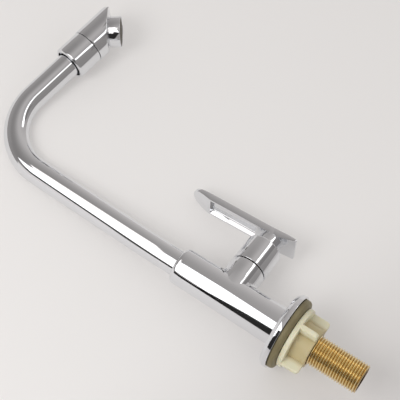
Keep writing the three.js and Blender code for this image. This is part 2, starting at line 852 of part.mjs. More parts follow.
function handleScrew() {
  const tip = splineStart + handleScrewEndRoom;
  const seat = screwSeat + fit;
  const headTop = seat + handleScrewHeadHeight;
  const outline = [
    [0, tip],
    [handleScrewRadius, tip],
    [handleScrewRadius, seat],
    [handleScrewHeadRadius, seat],
    [handleScrewHeadRadius, headTop],
    [0, headTop],
  ];
  const socket = prism(
    acrossFlats(6, handleScrewSocketAcross),
    headTop - handleScrewSocketDepth,
    handleScrewSocketDepth + overrun,
  );
  return faceted(cut(solid(turning(outline, smallFacets)), solid(socket)));
}

function screwPlug() {
  return rod(handleScrewHeadRadius, screwPlugStart, bladeTop, smallFacets);
}

// Spout, drawn in the XZ plane and then turned

const glideRingBottom = spoutSocketFloor + fit;
const tailBottom = glideRingBottom + glideRingThickness + fit;
const tailShoulder = bodyTopHeight - tailShoulderDepth;
const tubeBottom = tailShoulder + fit;
const tailSpigotTop = tubeBottom + tailSpigotLength;
const tailLength = tailShoulder - tailBottom;
const snapRingFloor = tailBottom + tailSnapShare * tailLength;
const tailGrooves = tailGrooveShares.map((share) => tailBottom + share * tailLength);
const tubePastBend = sleeveStart + sleeveMouthDepth + tubeGrip;

function spoutRoute(pastBend) {
  const leanLength = leanRadius * leanAngle * deg;
  const straight = (riseToBend - tubeBottom - riseStraight - leanLength) / Math.cos(leanAngle * deg);
  return stationsOf(tubeBottom, [
    { length: riseStraight, turn: 0, steps: 1 },
    { length: leanLength, turn: leanAngle, steps: leanSteps },
    { length: straight, turn: 0, steps: 1 },
    { length: bendRadius * bendAngle * deg, turn: bendAngle, steps: bendSteps },
    ...(pastBend > 0 ? [{ length: pastBend, turn: 0, steps: 1 }] : []),
  ]);
}

function spoutTube() {
  const section = new THREE.Shape();
  section.absarc(0, 0, tubeRadius, 0, 2 * Math.PI, false);
  const bore = new THREE.Path();
  bore.absarc(0, 0, tubeBoreRadius, 0, 2 * Math.PI, false);
  section.holes = [bore];
  const { stations } = spoutRoute(tubePastBend);
  return new THREE.ExtrudeGeometry(section, {
    steps: stations.length - 1,
    curveSegments: insideFacets / 2,
    extrudePath: new Route(stations),
  });
}

// Outline points of a groove, going up the outside of a turning.
function groove(outsideRadius, floorRadius, bottom, length) {
  return [
    [outsideRadius, bottom],
    [floorRadius, bottom],
    [floorRadius, bottom + length],
    [outsideRadius, bottom + length],
  ];
}

function spoutTail() {
  const spigotRadius = tubeBoreRadius - fit;
  const snapGrooveBottom = snapRingFloor - snapGrooveSlack / 2;
  const outline = [
    [spoutWaterwayRadius, tailBottom],
    [tubeRadius, tailBottom],
    ...tailGrooves.flatMap((bottom) => groove(tubeRadius, grooveRadius, bottom, oringGrooveLength)),
    ...groove(tubeRadius, snapGrooveRadius, snapGrooveBottom, snapGrooveLength),
    [tubeRadius, tailShoulder],
    [spigotRadius, tailShoulder],
    [spigotRadius, tailSpigotTop],
    [spoutWaterwayRadius, tailSpigotTop],
  ];
  return turning(outline, insideFacets);
}

// A rubber ring that lies in a groove of the tail or the stem.
function grooveRing(grooveBottom) {
  const squeeze = fit / 2;
  return oring(grooveRadius + squeeze, tubeRadius + squeeze, grooveBottom + oringGrooveLength / 2);
}

// Outlet head: heights here run along the tube from the end of the main bend, and +X is its underside

const sleeveEnd = sleeveStart + sleeveLength;
const tubeStop = tubePastBend + fit;
const stemSocketFloor = tubeStop + sleeveStopThickness;
const stemBottom = stemSocketFloor + fit;
const headStart = sleeveEnd + seamGap;
const stemSnapFloor = sleeveEnd - stemSnapFromSeam - snapRingThickness - snapGrooveSlack;
const stemGroove = stemBottom + stemGrooveFromEnd;
const mitreAt = sleeveEnd + mitreOnAxis;

function headSleeve() {
  const snapFloor = stemSnapFloor - snapGrooveSlack / 2;
  const lip = sleeveLipRound;
  const outline = [
    [tubeRadius + fit, sleeveStart + sleeveMouthDepth],
    [sleeveMouthRadius, sleeveStart + sleeveMouthDepth],
    [sleeveMouthRadius, sleeveStart],
    ...arc(sleeveRadius - lip, sleeveStart + lip, lip, -90, 0),
    [sleeveRadius, sleeveEnd],
    [spoutSocketRadius, sleeveEnd],
    [spoutSocketRadius, snapFloor + snapGrooveLength],
    [snapSocketRadius, snapFloor + snapGrooveLength],
    [snapSocketRadius, snapFloor],
    [spoutSocketRadius, snapFloor],
    [spoutSocketRadius, stemSocketFloor],
    [sleeveStopRadius, stemSocketFloor],
    [sleeveStopRadius, tubeStop],
    [tubeRadius + fit, tubeStop],
  ];
  return turning(outline, outsideFacets);
}

// Moves a shape made round the nozzle's axis, with its face at height 0, to the slanted face.
function onSlantedFace(geometry) {
  return solid(
    geometry
      .translate(nozzleOffset, 0, 0)
      .rotateY(mitreAngle * deg)
      .translate(0, 0, mitreAt),
  );
}

// What the sharp tip of the head loses, to leave it round about the nozzle.
function tipTrim() {
  const size = 2 * headRadius + overrun;
  const block = box(size, 2 * size, 2 * headTipTrimDepth, -size / 2, 0, 0);
  const kept = rod(headTipReach, -size, size, 2 * outsideFacets);
  return cut(onSlantedFace(block), onSlantedFace(kept));
}

function mitreHead() {
  const snapGrooveBottom = stemSnapFloor - snapGrooveSlack / 2;
  const seamRound = headSeamRound;
  const outside = [
    [0, headStart],
    ...arc(headRadius - seamRound, headStart + seamRound, seamRound, -90, 0, 1),
    [headRadius, mitreAt + 2 * headRadius],
    [0, mitreAt + 2 * headRadius],
  ];
  const size = 6 * headRadius;
  const aboveFace = box(size, size, size, 0, 0, size / 2);
  const stem = [
    [0, stemBottom],
    [tubeRadius, stemBottom],
    ...groove(tubeRadius, grooveRadius, stemGroove, oringGrooveLength),
    ...groove(tubeRadius, snapGrooveRadius, snapGrooveBottom, snapGrooveLength),
    [tubeRadius, headStart + seamRound],
    [0, headStart + seamRound],
  ];
  const bore = rod(stemBoreRadius, stemBottom - overrun, headStart + headBoreDepth, insideFacets);
  const nozzleHole = [
    [0, -headNozzleBoreDepth],
    [headNozzleInnerRadius, -headNozzleBoreDepth],
    [headNozzleInnerRadius, -nozzleNeckLength - 2 * fit],
    [nozzleNeckRadius + fit, -nozzleNeckLength - 2 * fit],
    [nozzleNeckRadius + fit, overrun],
    [0, overrun],
  ];
  const head = cut(solid(turning(outside, outsideFacets)), onSlantedFace(aboveFace), tipTrim());
  const inside = join(solid(bore), onSlantedFace(turning(nozzleHole, insideFacets)));
  return faceted(cut(join(head, solid(turning(stem, insideFacets))), inside));
}

// Nozzle and aerator: heights here run out of the slanted face

const insertStart = nozzleChamberFromFace + 2 * fit + aeratorWasherThickness;
const screenStart = insertStart + aeratorInsertThickness + fit;
const nozzleChamberRadius = nozzleRadius - nozzleWall;
const insertRadius = nozzleChamberRadius - fit;

function nozzleShell() {
  const rim = nozzleRimRound;
  const outline = [
    [nozzleBoreRadius, -nozzleNeckLength - fit],
    [nozzleNeckRadius, -nozzleNeckLength - fit],
    [nozzleNeckRadius, fit],
    [nozzleRadius, fit],
    ...arc(nozzleRadius - rim, nozzleLength - rim, rim, 0, 90, 1),
    [nozzleChamberRadius, nozzleLength],
    [nozzleChamberRadius, nozzleChamberFromFace],
    [nozzleBoreRadius, nozzleChamberFromFace],
  ];
  return turning(outline, outsideFacets);
}

function roundHole(x, y, radius, facets) {
  return polygon(arc(x, y, radius, 0, 360 - 360 / facets, facets - 1));
}

function aeratorInsert() {
  const shape = new THREE.Shape();
  shape.absarc(0, 0, insertRadius, 0, 2 * Math.PI, false);
  const ringRadius = insertRadius / 2 + insertHoleRadius / 2;
  for (let i = 0; i < insertHoleCount; i += 1) {
    const angle = (i * 2 * Math.PI) / insertHoleCount;
    const x = ringRadius * Math.cos(angle);
    const y = ringRadius * Math.sin(angle);
    shape.holes.push(roundHole(x, y, insertHoleRadius, insertHoleFacets));
  }
  return prism(shape, insertStart, aeratorInsertThickness, insideFacets / 2);
}

// Small holes in a triangular grid, as many as fit inside the screen's rim.
function outletScreen() {
  const shape = new THREE.Shape();
  shape.absarc(0, 0, insertRadius, 0, 2 * Math.PI, false);
  const rowHeight = screenHolePitch * Math.cos(30 * deg);
  const room = insertRadius - 2 * screenHoleRadius;
  const rows = Math.floor(room / rowHeight);
  for (let row = -rows; row <= rows; row += 1) {
    const y = row * rowHeight;
    const shift = Math.abs(row % 2) * (screenHolePitch / 2);
    const columns = Math.ceil(insertRadius / screenHolePitch);
    for (let column = -columns; column <= columns; column += 1) {
      const x = column * screenHolePitch + shift;
      if (Math.hypot(x, y) > room) continue;
      shape.holes.push(roundHole(x, y, screenHoleRadius, screenHoleFacets));
    }
  }
  return prism(shape, screenStart, screenThickness, insideFacets / 2);
}

// Assembly

const tap = new THREE.Group();

piece(tap, "base_gasket", baseGasket(), "oliveRubber");
piece(tap, "base_flange", baseFlange(), "chrome");
piece(tap, "body_casting", bodyCasting(), "chrome");
piece(tap, "inlet_shank", inletShank(), "brass");
piece(
  tap,
  "shank_seal",
  ring(shankBoreRadius, shankRadius, shankTop + fit, shankSealTop, smallFacets),
  "blackRubber",
);

const nutGroup = new THREE.Group();
nutGroup.rotation.z = nutWingTurn * deg;
tap.add(nutGroup);
piece(nutGroup, "mounting_nut", mountingNut(), "nylon");

const headwork = new THREE.Group();
headwork.position.z = branchHeight;
headwork.rotation.y = Math.PI / 2;
tap.add(headwork);
const sealOuterRadius = discRadius;
const sealInnerRadius = seatHoleRadius + fit;
const bonnetRingInner = threadSocketRadius - fit - bonnetGrooveDepth + fit / 2;
const bonnetRingOuter = threadSocketRadius - fit / 2;
const bonnetRingMiddle = collarStart - bonnetGrooveFromCollar - bonnetGrooveLength / 2;
const spindleRingInner = spindleRadius - spindleGrooveDepth + fit / 2;
const spindleRingOuter = spindleRadius + fit / 2;
const spindleRingMiddle = neckEnd - spindleGrooveFromNeckEnd - spindleGrooveLength / 2;
const clipInnerRadius = spindleRadius - clipGrooveDepth + fit / 2;
piece(
  headwork,
  "seat_seal",
  ring(sealInnerRadius, sealOuterRadius, sealStart, sealStart + seatSealThickness, smallFacets),
  "blackRubber",
);
piece(headwork, "fixed_disc", portedDisc(discRadius, fixedDiscStart, discThickness), "ceramic");
piece(headwork, "headwork_bonnet", headworkBonnet(), "brass");
piece(
  headwork,
  "bonnet_oring",
  oring(bonnetRingInner, bonnetRingOuter, bonnetRingMiddle),
  "blackRubber",
);

// The closed position: what turns with the lever stands a quarter turn from the fixed ports.
const turningParts = new THREE.Group();
turningParts.rotation.z = Math.PI / 2 + leverTurn * deg;
headwork.add(turningParts);
piece(turningParts, "moving_disc", movingDisc(), "ceramic");
piece(turningParts, "spindle", spindle(), "brass");
piece(
  turningParts,
  "spindle_oring",
  oring(spindleRingInner, spindleRingOuter, spindleRingMiddle),
  "blackRubber",
);
piece(
  turningParts,
  "spindle_clip",
  splitRing(clipInnerRadius, clipOuterRadius, clipStart, clipThickness, clipGap),
  "steel",
);

const lever = new THREE.Group();
lever.rotation.z = leverTurn * deg;
headwork.add(lever);
piece(lever, "handle_lever", handleLever(), "chrome");
piece(lever, "handle_screw", handleScrew(), "steel");
piece(lever, "screw_plug", screwPlug(), "chrome");

const spout = new THREE.Group();
spout.rotation.z = spoutTurn * deg;
tap.add(spout);
piece(
  spout,
  "spout_glide_ring",
  ring(glideRingInnerRadius, tubeRadius, glideRingBottom, glideRingBottom + glideRingThickness, smallFacets),
  "plastic",
);
piece(spout, "spout_tail", spoutTail(), "brass");
piece(spout, "spout_oring_lower", grooveRing(tailGrooves[0]), "blackRubber");
piece(spout, "spout_oring_upper", grooveRing(tailGrooves[1]), "blackRubber");
piece(
  spout,
  "spout_snap_ring",
  splitRing(snapRingInnerRadius, snapRingOuterRadius, snapRingFloor, snapRingThickness, snapRingGap),
  "steel",
);
piece(spout, "spout_tube", spoutTube(), "chrome");

const { end: bendEnd, lean: bendLean } = spoutRoute(0);
const outletHead = new THREE.Group();
outletHead.position.copy(bendEnd);
outletHead.rotation.y = bendLean;
spout.add(outletHead);
piece(outletHead, "head_sleeve", headSleeve(), "chrome");
piece(outletHead, "mitre_head", mitreHead(), "chrome");
piece(outletHead, "head_oring", grooveRing(stemGroove), "blackRubber");
piece(
  outletHead,
  "head_snap_ring",
  splitRing(snapRingInnerRadius, snapRingOuterRadius, stemSnapFloor, snapRingThickness, snapRingGap),
  "steel",
);

const nozzle = new THREE.Group();
nozzle.rotation.y = mitreAngle * deg;
nozzle.position.set(
  nozzleOffset * Math.cos(mitreAngle * deg),
  0,
  mitreAt - nozzleOffset * Math.sin(mitreAngle * deg),
);
outletHead.add(nozzle);
piece(nozzle, "nozzle_shell", nozzleShell(), "chrome");
piece(
  nozzle,
  "aerator_washer",
  ring(
    nozzleBoreRadius + fit,
    insertRadius,
    nozzleChamberFromFace + fit,
    nozzleChamberFromFace + fit + aeratorWasherThickness,
    smallFacets,
  ),
  "blackRubber",
);
piece(nozzle, "aerator_insert", aeratorInsert(), "plastic");
piece(nozzle, "outlet_screen", outletScreen(), "screenPlastic");

export default tap;
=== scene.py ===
# %% [markdown]
# A kitchen tap, dressed for its portrait. The solids of the part come in as a fixed frame, in metres, with
# +Z up along the tap's body and +X along the side branch. This file gives every visible piece its fine
# shape and its finish, then lays the tap on a pale surface in front of the camera, under a soft studio
# light.

# %% Load the frame
import math

import bpy
from mathutils import Matrix, Vector


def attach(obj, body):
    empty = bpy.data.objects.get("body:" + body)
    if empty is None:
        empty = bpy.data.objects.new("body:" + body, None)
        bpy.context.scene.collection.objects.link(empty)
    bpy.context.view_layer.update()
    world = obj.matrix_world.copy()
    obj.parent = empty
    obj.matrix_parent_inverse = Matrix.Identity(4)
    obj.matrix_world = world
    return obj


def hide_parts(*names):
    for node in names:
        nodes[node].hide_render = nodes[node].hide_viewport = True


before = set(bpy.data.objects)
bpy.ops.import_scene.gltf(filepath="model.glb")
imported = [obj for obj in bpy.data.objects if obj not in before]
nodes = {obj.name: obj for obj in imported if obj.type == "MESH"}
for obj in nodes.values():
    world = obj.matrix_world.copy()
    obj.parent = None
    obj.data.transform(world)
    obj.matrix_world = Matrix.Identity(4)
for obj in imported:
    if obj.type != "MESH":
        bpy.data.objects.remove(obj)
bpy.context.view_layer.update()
MM = 0.001

# %% [markdown]
# The numbers of the tap that several pieces share, in millimetres and degrees. They are those of the
# solids, so each new piece sits where its solid does.

# %% Shared sizes
LEVER_TURN = -4.0
SPOUT_TURN = -13.4
BRANCH_HEIGHT = 50.0
BODY_BOTTOM = 9.4
BODY_TOP = 88.8
TUBE_RADIUS = 9.0
TUBE_WALL = 1.0
TUBE_BOTTOM = 82.6
STRAIGHT_RISE = 16.0
LEAN_RADIUS = 1300.0
LEAN = 1.32
BEND_START_HEIGHT = 208.7
BEND_RADIUS = 40.0
BEND = 96.3
SLEEVE_START = 35.7
MITRE_ON_AXIS = 77.8
MITRE_ANGLE = 48.5
HEAD_RADIUS = 13.25
NOZZLE_OFFSET = 4.6
print("at rest the spout is turned by", SPOUT_TURN, "and the lever by", LEVER_TURN, "degrees")

# %% [markdown]
# Small helpers for modelling as by hand. A turned part is drawn the way a potter pulls up a wall: a circle
# is extruded ring by ring, and each new ring is resized to the outline. That keeps the rings even, so
# reflections run smoothly round the metal. Every operator acts on what is selected, so each helper starts
# from an empty selection, and each piece ends with merged doubles and normals that point outwards.


# %% Helpers: selection and finishing
def deselect_all():
    if bpy.context.object and bpy.context.object.mode != "OBJECT":
        bpy.ops.object.mode_set(mode="OBJECT")
    bpy.ops.object.select_all(action="DESELECT")


def make_active(piece):
    deselect_all()
    piece.select_set(True)
    bpy.context.view_layer.objects.active = piece


def start_edit(piece, action="SELECT", kind=None):
    """Opens edit mode on one piece with all or nothing selected, for work on vertices, edges or faces."""
    make_active(piece)
    bpy.ops.object.mode_set(mode="EDIT")
    if kind:
        bpy.ops.mesh.select_mode(type=kind)
    bpy.ops.mesh.select_all(action=action)


def end_edit():
    bpy.ops.object.mode_set(mode="OBJECT")


def edit_chosen(piece, kind, chosen):
    """Opens edit mode with only the vertices, edges or faces selected that pass a test, and counts them."""
    start_edit(piece, "DESELECT", kind)
    end_edit()
    elements = {"VERT": piece.data.vertices, "EDGE": piece.data.edges, "FACE": piece.data.polygons}[kind]
    for element in elements:
        element.select = chosen(element)
    count = sum(element.select for element in elements)
    bpy.ops.object.mode_set(mode="EDIT")
    return count


def clean_mesh(piece, merge=0.004):
    start_edit(piece)
    bpy.ops.mesh.remove_doubles(threshold=merge * MM)
    bpy.ops.mesh.normals_make_consistent(inside=False)
    end_edit()


def place(piece, matrix):
    make_active(piece)
    piece.matrix_world = matrix @ piece.matrix_world
    bpy.ops.object.transform_apply(location=True, rotation=True, scale=True)


def apply_modifier(piece, kind, **settings):
    make_active(piece)
    modifier = piece.modifiers.new("step", kind)
    for key, value in settings.items():
        setattr(modifier, key, value)
    bpy.ops.object.modifier_apply(modifier=modifier.name)


def combine(piece, other, operation):
    apply_modifier(piece, "BOOLEAN", object=other, operation=operation, solver="EXACT")
    bpy.data.objects.remove(other)


def report_piece(piece):
    low = [min(v.co[i] for v in piece.data.vertices) / MM for i in range(3)]
    high = [max(v.co[i] for v in piece.data.vertices) / MM for i in range(3)]
    sizes = " x ".join(f"{b - a:.1f}" for a, b in zip(low, high))
    print(f"{piece.name}: {len(piece.data.polygons)} faces, {sizes} mm")


# %% [markdown]
# Real edges are never quite sharp, and it is their small rounds that catch the light. Two ways of rounding
# are used: a bevel modifier on all edges past an angle, and the bevel operator on edges that are chosen by
# their place.


# %% Helpers: rounded edges
def bevel_edges(piece, width, segments=3, degrees=40, clamp=True):
    apply_modifier(
        piece, "BEVEL", width=width * MM, segments=segments, limit_method="ANGLE",
        angle_limit=math.radians(degrees), use_clamp_overlap=clamp,
    )


def round_chosen_edges(piece, chosen, width, segments, sharper_than=None):
    """Rounds the edges whose two ends, in millimetres, pass a test, and tells how many there are.

    With an angle in degrees, only edges whose faces meet more sharply than that are put to the test.
    """
    candidates = range(len(piece.data.edges))
    if sharper_than:
        start_edit(piece, "DESELECT", "EDGE")
        bpy.ops.mesh.edges_select_sharp(sharpness=math.radians(sharper_than))
        end_edit()
        candidates = {edge.index for edge in piece.data.edges if edge.select}

    def test(edge):
        ends = (piece.data.vertices[i].co / MM for i in edge.vertices)
        return edge.index in candidates and chosen(*ends)

    count = edit_chosen(piece, "EDGE", test)
    bpy.ops.mesh.bevel(offset=width * MM, segments=segments, affect="EDGES", clamp_overlap=False)
    end_edit()
    return count


# %% Helpers: outlines and turned parts
def arc(across, along, radius, start, end, steps=5):
    points = []
    for i in range(steps + 1):
        angle = math.radians(start + (end - start) * i / steps)
        points.append((across + radius * math.cos(angle), along + radius * math.sin(angle)))
    return points


def cap_open_ends(piece):
    start_edit(piece, "DESELECT", "EDGE")
    bpy.ops.mesh.select_non_manifold(extend=False)
    bpy.ops.mesh.fill_holes(sides=0)
    end_edit()


def turn_part(name, outline, facets=96, ring=False):
    """Turns an outline of (radius, height) points round Z. A ring's outline closes on itself."""
    deselect_all()
    path = list(outline) + ([outline[0]] if ring else [])
    first_radius, first_height = path[0]
    bpy.ops.mesh.primitive_circle_add(vertices=facets, radius=first_radius * MM, fill_type="NOTHING")
    piece = bpy.context.object
    piece.name = name
    start_edit(piece, "SELECT", "VERT")
    bpy.ops.transform.translate(value=(0, 0, first_height * MM))
    for (radius, height), (next_radius, next_height) in zip(path, path[1:]):
        rise = (next_height - height) * MM
        bpy.ops.mesh.extrude_region_move(TRANSFORM_OT_translate={"value": (0, 0, rise)})
        if next_radius != radius:
            share = next_radius / radius
            bpy.ops.transform.resize(value=(share, share, 1), center_override=(0, 0, next_height * MM))
    end_edit()
    if not ring:
        cap_open_ends(piece)
    clean_mesh(piece)
    return piece


def round_bar(name, radius, low, high, facets=96):
    return turn_part(name, [(radius, low), (radius, high)], facets)


def solid_block(name, size, centre):
    deselect_all()
    bpy.ops.mesh.primitive_cube_add(size=1, location=[c * MM for c in centre])
    piece = bpy.context.object
    piece.name = name
    piece.scale = [s * MM for s in size]
    bpy.ops.object.transform_apply(location=True, rotation=True, scale=True)
    return piece


# %% [markdown]
# Matrices that carry a piece from where it is easy to draw to where it belongs: on the branch (its +Z runs
# along the branch), in the spout's plane, on the outlet head (its +Z runs along the tube past the bend) and
# on the nozzle (its +Z runs out of the slanted face). The tube rises straight, leans a little, then takes
# its big bend.


# %% Places
def moved(x, y, z):
    return Matrix.Translation((x * MM, y * MM, z * MM))


def turned(degrees, axis):
    return Matrix.Rotation(math.radians(degrees), 4, axis)


to_branch = moved(0, 0, BRANCH_HEIGHT) @ turned(90, "Y")
lever_turn = moved(0, 0, BRANCH_HEIGHT) @ turned(LEVER_TURN, "X") @ moved(0, 0, -BRANCH_HEIGHT)
to_spout = turned(SPOUT_TURN, "Z")
lean = math.radians(LEAN)
lean_rise = LEAN_RADIUS * math.sin(lean)
lean_shift = LEAN_RADIUS * (1 - math.cos(lean))
leaning_length = (BEND_START_HEIGHT - TUBE_BOTTOM - STRAIGHT_RISE - lean_rise) / math.cos(lean)
bend_start_shift = lean_shift + leaning_length * math.sin(lean)
bend_centre = (
    bend_start_shift + BEND_RADIUS * math.cos(lean),
    BEND_START_HEIGHT - BEND_RADIUS * math.sin(lean),
)
head_lean = math.radians(LEAN + BEND)
bend_end = (
    bend_centre[0] - BEND_RADIUS * math.cos(head_lean),
    bend_centre[1] + BEND_RADIUS * math.sin(head_lean),
)
to_head = to_spout @ moved(bend_end[0], 0, bend_end[1]) @ turned(LEAN + BEND, "Y")
nozzle_in_head = moved(0, 0, MITRE_ON_AXIS) @ turned(MITRE_ANGLE, "Y") @ moved(NOZZLE_OFFSET, 0, 0)
to_nozzle = to_head @ nozzle_in_head
print("end of the bend in the spout's plane:", [round(c, 2) for c in bend_end])

# %% [markdown]
# The camera stands where the photographer's did: low beside the tap's foot, looking along it, with the tap
# lying aslant in the picture. Its place comes from a camera fitted to the photograph, and the long lens
# keeps the perspective flat. It comes early, so that every later step can be seen through it.

# %% Camera
AZIMUTH = -32.866
ELEVATION = -15.298
ROLL = -58.787
CAMERA_DISTANCE_M = 0.75
LENS = 98.283
LOOK_AT = (51.722, 0, 106.849)


def view_axes(azimuth, elevation, roll):
    azimuth, elevation, roll = map(math.radians, (azimuth, elevation, roll))
    back = Vector((
        math.sin(azimuth) * math.cos(elevation),
        -math.cos(azimuth) * math.cos(elevation),
        math.sin(elevation),
    ))
    level = Vector((math.cos(azimuth), math.sin(azimuth), 0))
    over = back.cross(level)
    right = level * math.cos(roll) + over * math.sin(roll)
    up = over * math.cos(roll) - level * math.sin(roll)
    return right, up, back


right, up, back = view_axes(AZIMUTH, ELEVATION, ROLL)
look_at = Vector(LOOK_AT) * MM
camera_turn = Matrix((right, up, back)).transposed().to_4x4()
deselect_all()
bpy.ops.object.camera_add()
camera = bpy.context.object
camera.name = "photo_camera"
camera.matrix_world = Matrix.Translation(look_at + back * CAMERA_DISTANCE_M) @ camera_turn
camera.data.sensor_width = 36
camera.data.lens = LENS
camera.data.clip_start = 0.05
bpy.context.scene.camera = camera
print("camera at", [round(c, 3) for c in camera.location])

# %% [markdown]
# Finishes are made of a few kinds of nodes: noise for what wanders over a surface, a range that turns the
# noise into a roughness or a mix, and a bump. All patterns read Object coordinates, which are metres here,
# because every finished piece lies at the origin.


# %% Finish helpers
def new_material(name, base_color, metallic, roughness):
    material = bpy.data.materials.new(name)
    material.use_nodes = True
    shader = material.node_tree.nodes["Principled BSDF"]
    shader.inputs["Base Color"].default_value = (*base_color, 1)
    shader.inputs["Metallic"].default_value = metallic
    shader.inputs["Roughness"].default_value = roughness
    return material, material.node_tree, shader


def noise_of(tree, scale, detail=3.0, stretch=(1, 1, 1)):
    coordinates = tree.nodes.new("ShaderNodeTexCoord")
    mapping = tree.nodes.new("ShaderNodeMapping")
    mapping.inputs["Scale"].default_value = stretch
    noise = tree.nodes.new("ShaderNodeTexNoise")
    noise.inputs["Scale"].default_value = scale
    noise.inputs["Detail"].default_value = detail
    tree.links.new(coordinates.outputs["Object"], mapping.inputs["Vector"])
    tree.links.new(mapping.outputs["Vector"], noise.inputs["Vector"])
    return noise.outputs["Fac"]


def map_range(tree, value, low, high, from_low=0.3, from_high=0.7, smooth=False):
    node = tree.nodes.new("ShaderNodeMapRange")
    node.interpolation_type = "SMOOTHSTEP" if smooth else "LINEAR"
    node.inputs["From Min"].default_value = from_low
    node.inputs["From Max"].default_value = from_high
    node.inputs["To Min"].default_value = low
    node.inputs["To Max"].default_value = high
    tree.links.new(value, node.inputs["Value"])
    return node.outputs["Result"]


def reach_along(tree, vector, direction):
    """How far a vector reaches along a direction."""
    product = tree.nodes.new("ShaderNodeVectorMath")
    product.operation = "DOT_PRODUCT"
    product.inputs[1].default_value = direction
    tree.links.new(vector, product.inputs[0])
    return product.outputs["Value"]


def math_node(tree, operation, first, second):
    """The sum, product or maximum of two sides, each of which is a number or the output of a node."""
    node = tree.nodes.new("ShaderNodeMath")
    node.operation = operation
    for socket, side in zip(node.inputs, (first, second)):
        if isinstance(side, float):
            socket.default_value = side
        else:
            tree.links.new(side, socket)
    return node.outputs["Value"]


def blend_colors(tree, value, first, second):
    ramp = tree.nodes.new("ShaderNodeValToRGB")
    ramp.color_ramp.elements[0].color = (*first, 1)
    ramp.color_ramp.elements[1].color = (*second, 1)
    tree.links.new(value, ramp.inputs["Fac"])
    return ramp.outputs["Color"]


def mix_colors(tree, share, first, second):
    mix = tree.nodes.new("ShaderNodeMix")
    mix.data_type = "RGBA"
    tree.links.new(share, mix.inputs["Factor"])
    tree.links.new(first, mix.inputs["A"])
    tree.links.new(second, mix.inputs["B"])
    return mix.outputs["Result"]


def add_bump(tree, shader, value, distance, strength=1.0):
    bump = tree.nodes.new("ShaderNodeBump")
    bump.inputs["Distance"].default_value = distance * MM
    bump.inputs["Strength"].default_value = strength
    tree.links.new(value, bump.inputs["Height"])
    tree.links.new(bump.outputs["Normal"], shader.inputs["Normal"])


# %% [markdown]
# Bright chrome is a metal that is almost a mirror: it has next to no colour of its own. What gives it life
# is a roughness that wanders a little from place to place, a tint that does the same, and a skin that is
# not perfectly flat.


# %% Chrome
def make_chrome(name, color, smoothest, roughest):
    material, tree, shader = new_material(name, color, 1.0, smoothest)
    wander = noise_of(tree, 60.0)
    tree.links.new(map_range(tree, wander, smoothest, roughest), shader.inputs["Roughness"])
    tint = blend_colors(tree, noise_of(tree, 25.0), [c * 0.97 for c in color], color)
    tree.links.new(tint, shader.inputs["Base Color"])
    add_bump(tree, shader, noise_of(tree, 45.0, 1.0), 0.02, 0.25)
    return material


chrome = make_chrome("bright_chrome", (0.80, 0.81, 0.83), 0.03, 0.06)
print("chrome:", chrome.name)

# %% [markdown]
# The shank is turned brass: warm yellow, with painted shade that darkens the valleys of the thread and
# makes the bore nearly black, and a painted highlight that lightens the crests. All three differ by their
# distance from the axis, so that distance picks the colour. The roughness runs in fine rings round the
# axis, from noise that changes slowly along X and Y and fast along Z. The brass inside the tap gets next to
# none of that painted shade, so its bore and valleys are given radii below zero, which no point has.

# %% Brass and steel
BORE_SHADE_EDGE = 0.5


def distance_from_axis(tree):
    """How far a point of the piece is from the Z axis, in millimetres."""
    coordinates = tree.nodes.new("ShaderNodeTexCoord")
    flatten = tree.nodes.new("ShaderNodeVectorMath")
    flatten.operation = "MULTIPLY"
    flatten.inputs[1].default_value = (1 / MM, 1 / MM, 0)
    length = tree.nodes.new("ShaderNodeVectorMath")
    length.operation = "LENGTH"
    tree.links.new(coordinates.outputs["Object"], flatten.inputs[0])
    tree.links.new(flatten.outputs["Vector"], length.inputs[0])
    return length.outputs["Value"]


def make_brass(name, bore_shade_radius, valley_shade_radius, crest_highlight_radius):
    """Brass with painted shade in its bore and the valleys of a thread, and a painted highlight on its
    crests.
    """
    material, tree, shader = new_material(name, (0.80, 0.58, 0.26), 1.0, 0.24)
    mottle = noise_of(tree, 260.0, 5.0)
    # Painted highlight on the crests, painted shade in the valleys, and near-black painted shade in the
    # bore.
    crest_highlight = blend_colors(tree, mottle, (0.95, 0.75, 0.39), (1.00, 0.92, 0.62))
    valley_shade = blend_colors(tree, mottle, (0.46, 0.29, 0.10), (0.72, 0.49, 0.20))
    bore_shade = blend_colors(tree, mottle, (0.05, 0.028, 0.015), (0.12, 0.07, 0.035))
    radius = distance_from_axis(tree)
    height = map_range(tree, radius, 0, 1, valley_shade_radius, crest_highlight_radius)
    past_bore_shade = map_range(tree, radius, 0, 1, bore_shade_radius, bore_shade_radius + BORE_SHADE_EDGE)
    metal = mix_colors(tree, past_bore_shade, bore_shade, mix_colors(tree, height, valley_shade, crest_highlight))
    tree.links.new(metal, shader.inputs["Base Color"])
    rings = noise_of(tree, 500.0, 2.0, (0.25, 0.25, 3.0))
    tree.links.new(map_range(tree, rings, 0.16, 0.32), shader.inputs["Roughness"])
    add_bump(tree, shader, rings, 0.015, 0.5)
    return material


def make_steel():
    material, tree, shader = new_material("plain_steel", (0.62, 0.63, 0.64), 1.0, 0.28)
    grain = noise_of(tree, 900.0, 3.0)
    tree.links.new(map_range(tree, grain, 0.22, 0.36), shader.inputs["Roughness"])
    add_bump(tree, shader, grain, 0.008, 0.4)
    return material


# These radii set where the bore's painted shade ends and the valleys' painted shade turns into the crests'
# painted highlight.
thread_brass = make_brass("thread_brass", bore_shade_radius=8.1, valley_shade_radius=9.4, crest_highlight_radius=10.3)
brass = make_brass("turned_brass", bore_shade_radius=-30.0, valley_shade_radius=-20.0, crest_highlight_radius=5.0)
steel = make_steel()
print("metals:", thread_brass.name, brass.name, steel.name)
